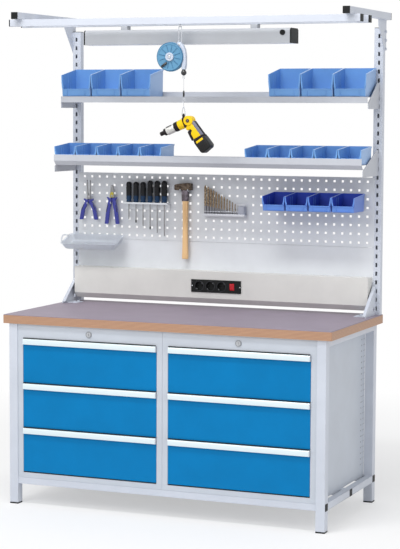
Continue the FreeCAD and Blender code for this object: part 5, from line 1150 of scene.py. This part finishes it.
def panel_pin(shape, x, z):
    """A steel pin from a small plate, with a raised tip."""
    put(shape, wire([(x, 314, z), (x, 300, z), (x, 280, z), (x, 273.5, z), (x, 273, z + 8)], 2.4), 1)
    put(shape, box((x - 5, 312.6, z - 7), (x + 5, 314.4, z + 7), 0.8, 2), 1)


for x, z in ((-652, 1282.8), (-533, 1287), (-185.5, 1352.5), (-148.5, 1352.5)):
    panel_pin(shape, x, z)
put(shape, box((-469, 274, 1288), (-250, 277, 1296), 0.8, 2), 2)
put(shape, box((-469, 307, 1262), (-250, 309, 1296), 0.6, 2), 2)
for index in range(7):
    x = -465.75 + 35.5 * index
    put(shape, box((x - 5.5, 275, 1289.5), (x + 5.5, 309, 1292.5), 0.8, 2), 2)
for x in (-456, -266):
    put(shape, box((x - 4, 308, 1270), (x + 4, 314.4, 1290), 1, 2), 2)
finish_piece("hooks_rack_and_tray", shape, [clear_grey, holder_grey, rack_white], "bench", ["panel_holders"])

# %% [markdown]
# ## Side holes
# Each cabinet's outer side has columns of small holes near its rear edge. The cabinet's inside
# lies in shade behind them, so they read as black dots. A thin dark disc inside each hole is
# painted shade that gives the same look.

# %% Discs of painted shade in the side holes
SIDE_FACE = 684.5
HOLE_LEVEL, HOLE_PITCH, HOLE_ROWS = 176.0, 25.0, 23
REAR_COLUMN, COLUMN_STEP = 255.0, 24.0


def hole_shade_disc(shape, sign, y, z, radius):
    """A dark disc of painted shade, half a millimetre thick, sunk into a hole of a cabinet's outer side."""
    disc = bmesh.new()
    bmesh.ops.create_cone(disc, cap_ends=True, segments=12, radius1=radius * MM, radius2=radius * MM,
                          depth=0.5 * MM)
    bmesh.ops.rotate(disc, cent=(0, 0, 0), matrix=Matrix.Rotation(math.radians(90), 3, "Y"), verts=disc.verts)
    move(disc, disc.verts, (sign * (SIDE_FACE - 0.35), y, z))
    put(shape, disc)


shape = bmesh.new()
for sign in (-1, 1):
    for row in range(HOLE_ROWS):
        z = HOLE_LEVEL + row * HOLE_PITCH
        for step in (0, 1, 1.7) if row % 6 != 5 else (0, 1, 1.7, 0.4):
            hole_shade_disc(shape, sign, REAR_COLUMN + step * COLUMN_STEP, z, 2.95 if step == 0 else 2.05)
finish_piece("side_hole_shade_discs", shape, [black_plastic], "bench", ())

# %% [markdown]
# ## Sockets and switch
# The socket strip is one black moulding with three round sockets, and a red rocker switch at
# its right end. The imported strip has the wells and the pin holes. New rings, earth clips and
# the rocker add what the eye looks for.

# %% Socket details
rocker_red = finish("rocker_red", (206, 28, 38), 0.22, relief=0.02, coat=0.4)
dress("socket_strip", black_plastic, 0.0008)
shape = bmesh.new()
FACE_Y, FACE_Z = 251.0, 929.5
for index in range(3):
    x = -81.0 + 53.5 * index
    ring = [(20.2, -0.9), (22.6, -0.9), (23.4, -0.1), (23.4, 0.6), (20.2, 0.6), (20.2, -0.9)]
    put(shape, lathe(ring, (x, FACE_Y, FACE_Z), "Y", 48), 0)
    for turn in (45, 225):
        clip = box((-2.5, 2, 17.4), (2.5, 14, 18.8), 0.4, 1)
        put(shape, clip, 1, frame_at((x, FACE_Y, FACE_Z), math.radians(turn)))
for x in (-115.5, 115.5):
    put(shape, lathe([(0, -1.0), (2.2, -1.0), (3, -0.2), (3, 0.5), (0, 0.5)], (x, FACE_Y, FACE_Z), "Y", 20), 1)
finish_piece("socket_rings_and_clips", shape, [dark_grey_plastic, chrome], "bench", ())

shape = bmesh.new()
rocker = box((-11, -4.5, -15), (11, 4.5, 15), 1.6, 3)
for vert in rocker.verts:
    if vert.co.y < -0.003:
        vert.co.y += 0.0014 * (1 - (abs(vert.co.z) / 0.015) ** 2)
rocker_frame = frame_at((77, 254, FACE_Z), math.radians(8), "X")
put(shape, rocker, 0, rocker_frame)
for level in (-9.5, -8, 8, 9.5):
    put(shape, box((-6, -4.9, level - 0.35), (6, -4.2, level + 0.35), 0.15, 1), 0, rocker_frame)
finish_piece("switch_rocker", shape, [rocker_red], "switch", ["power_switch"])
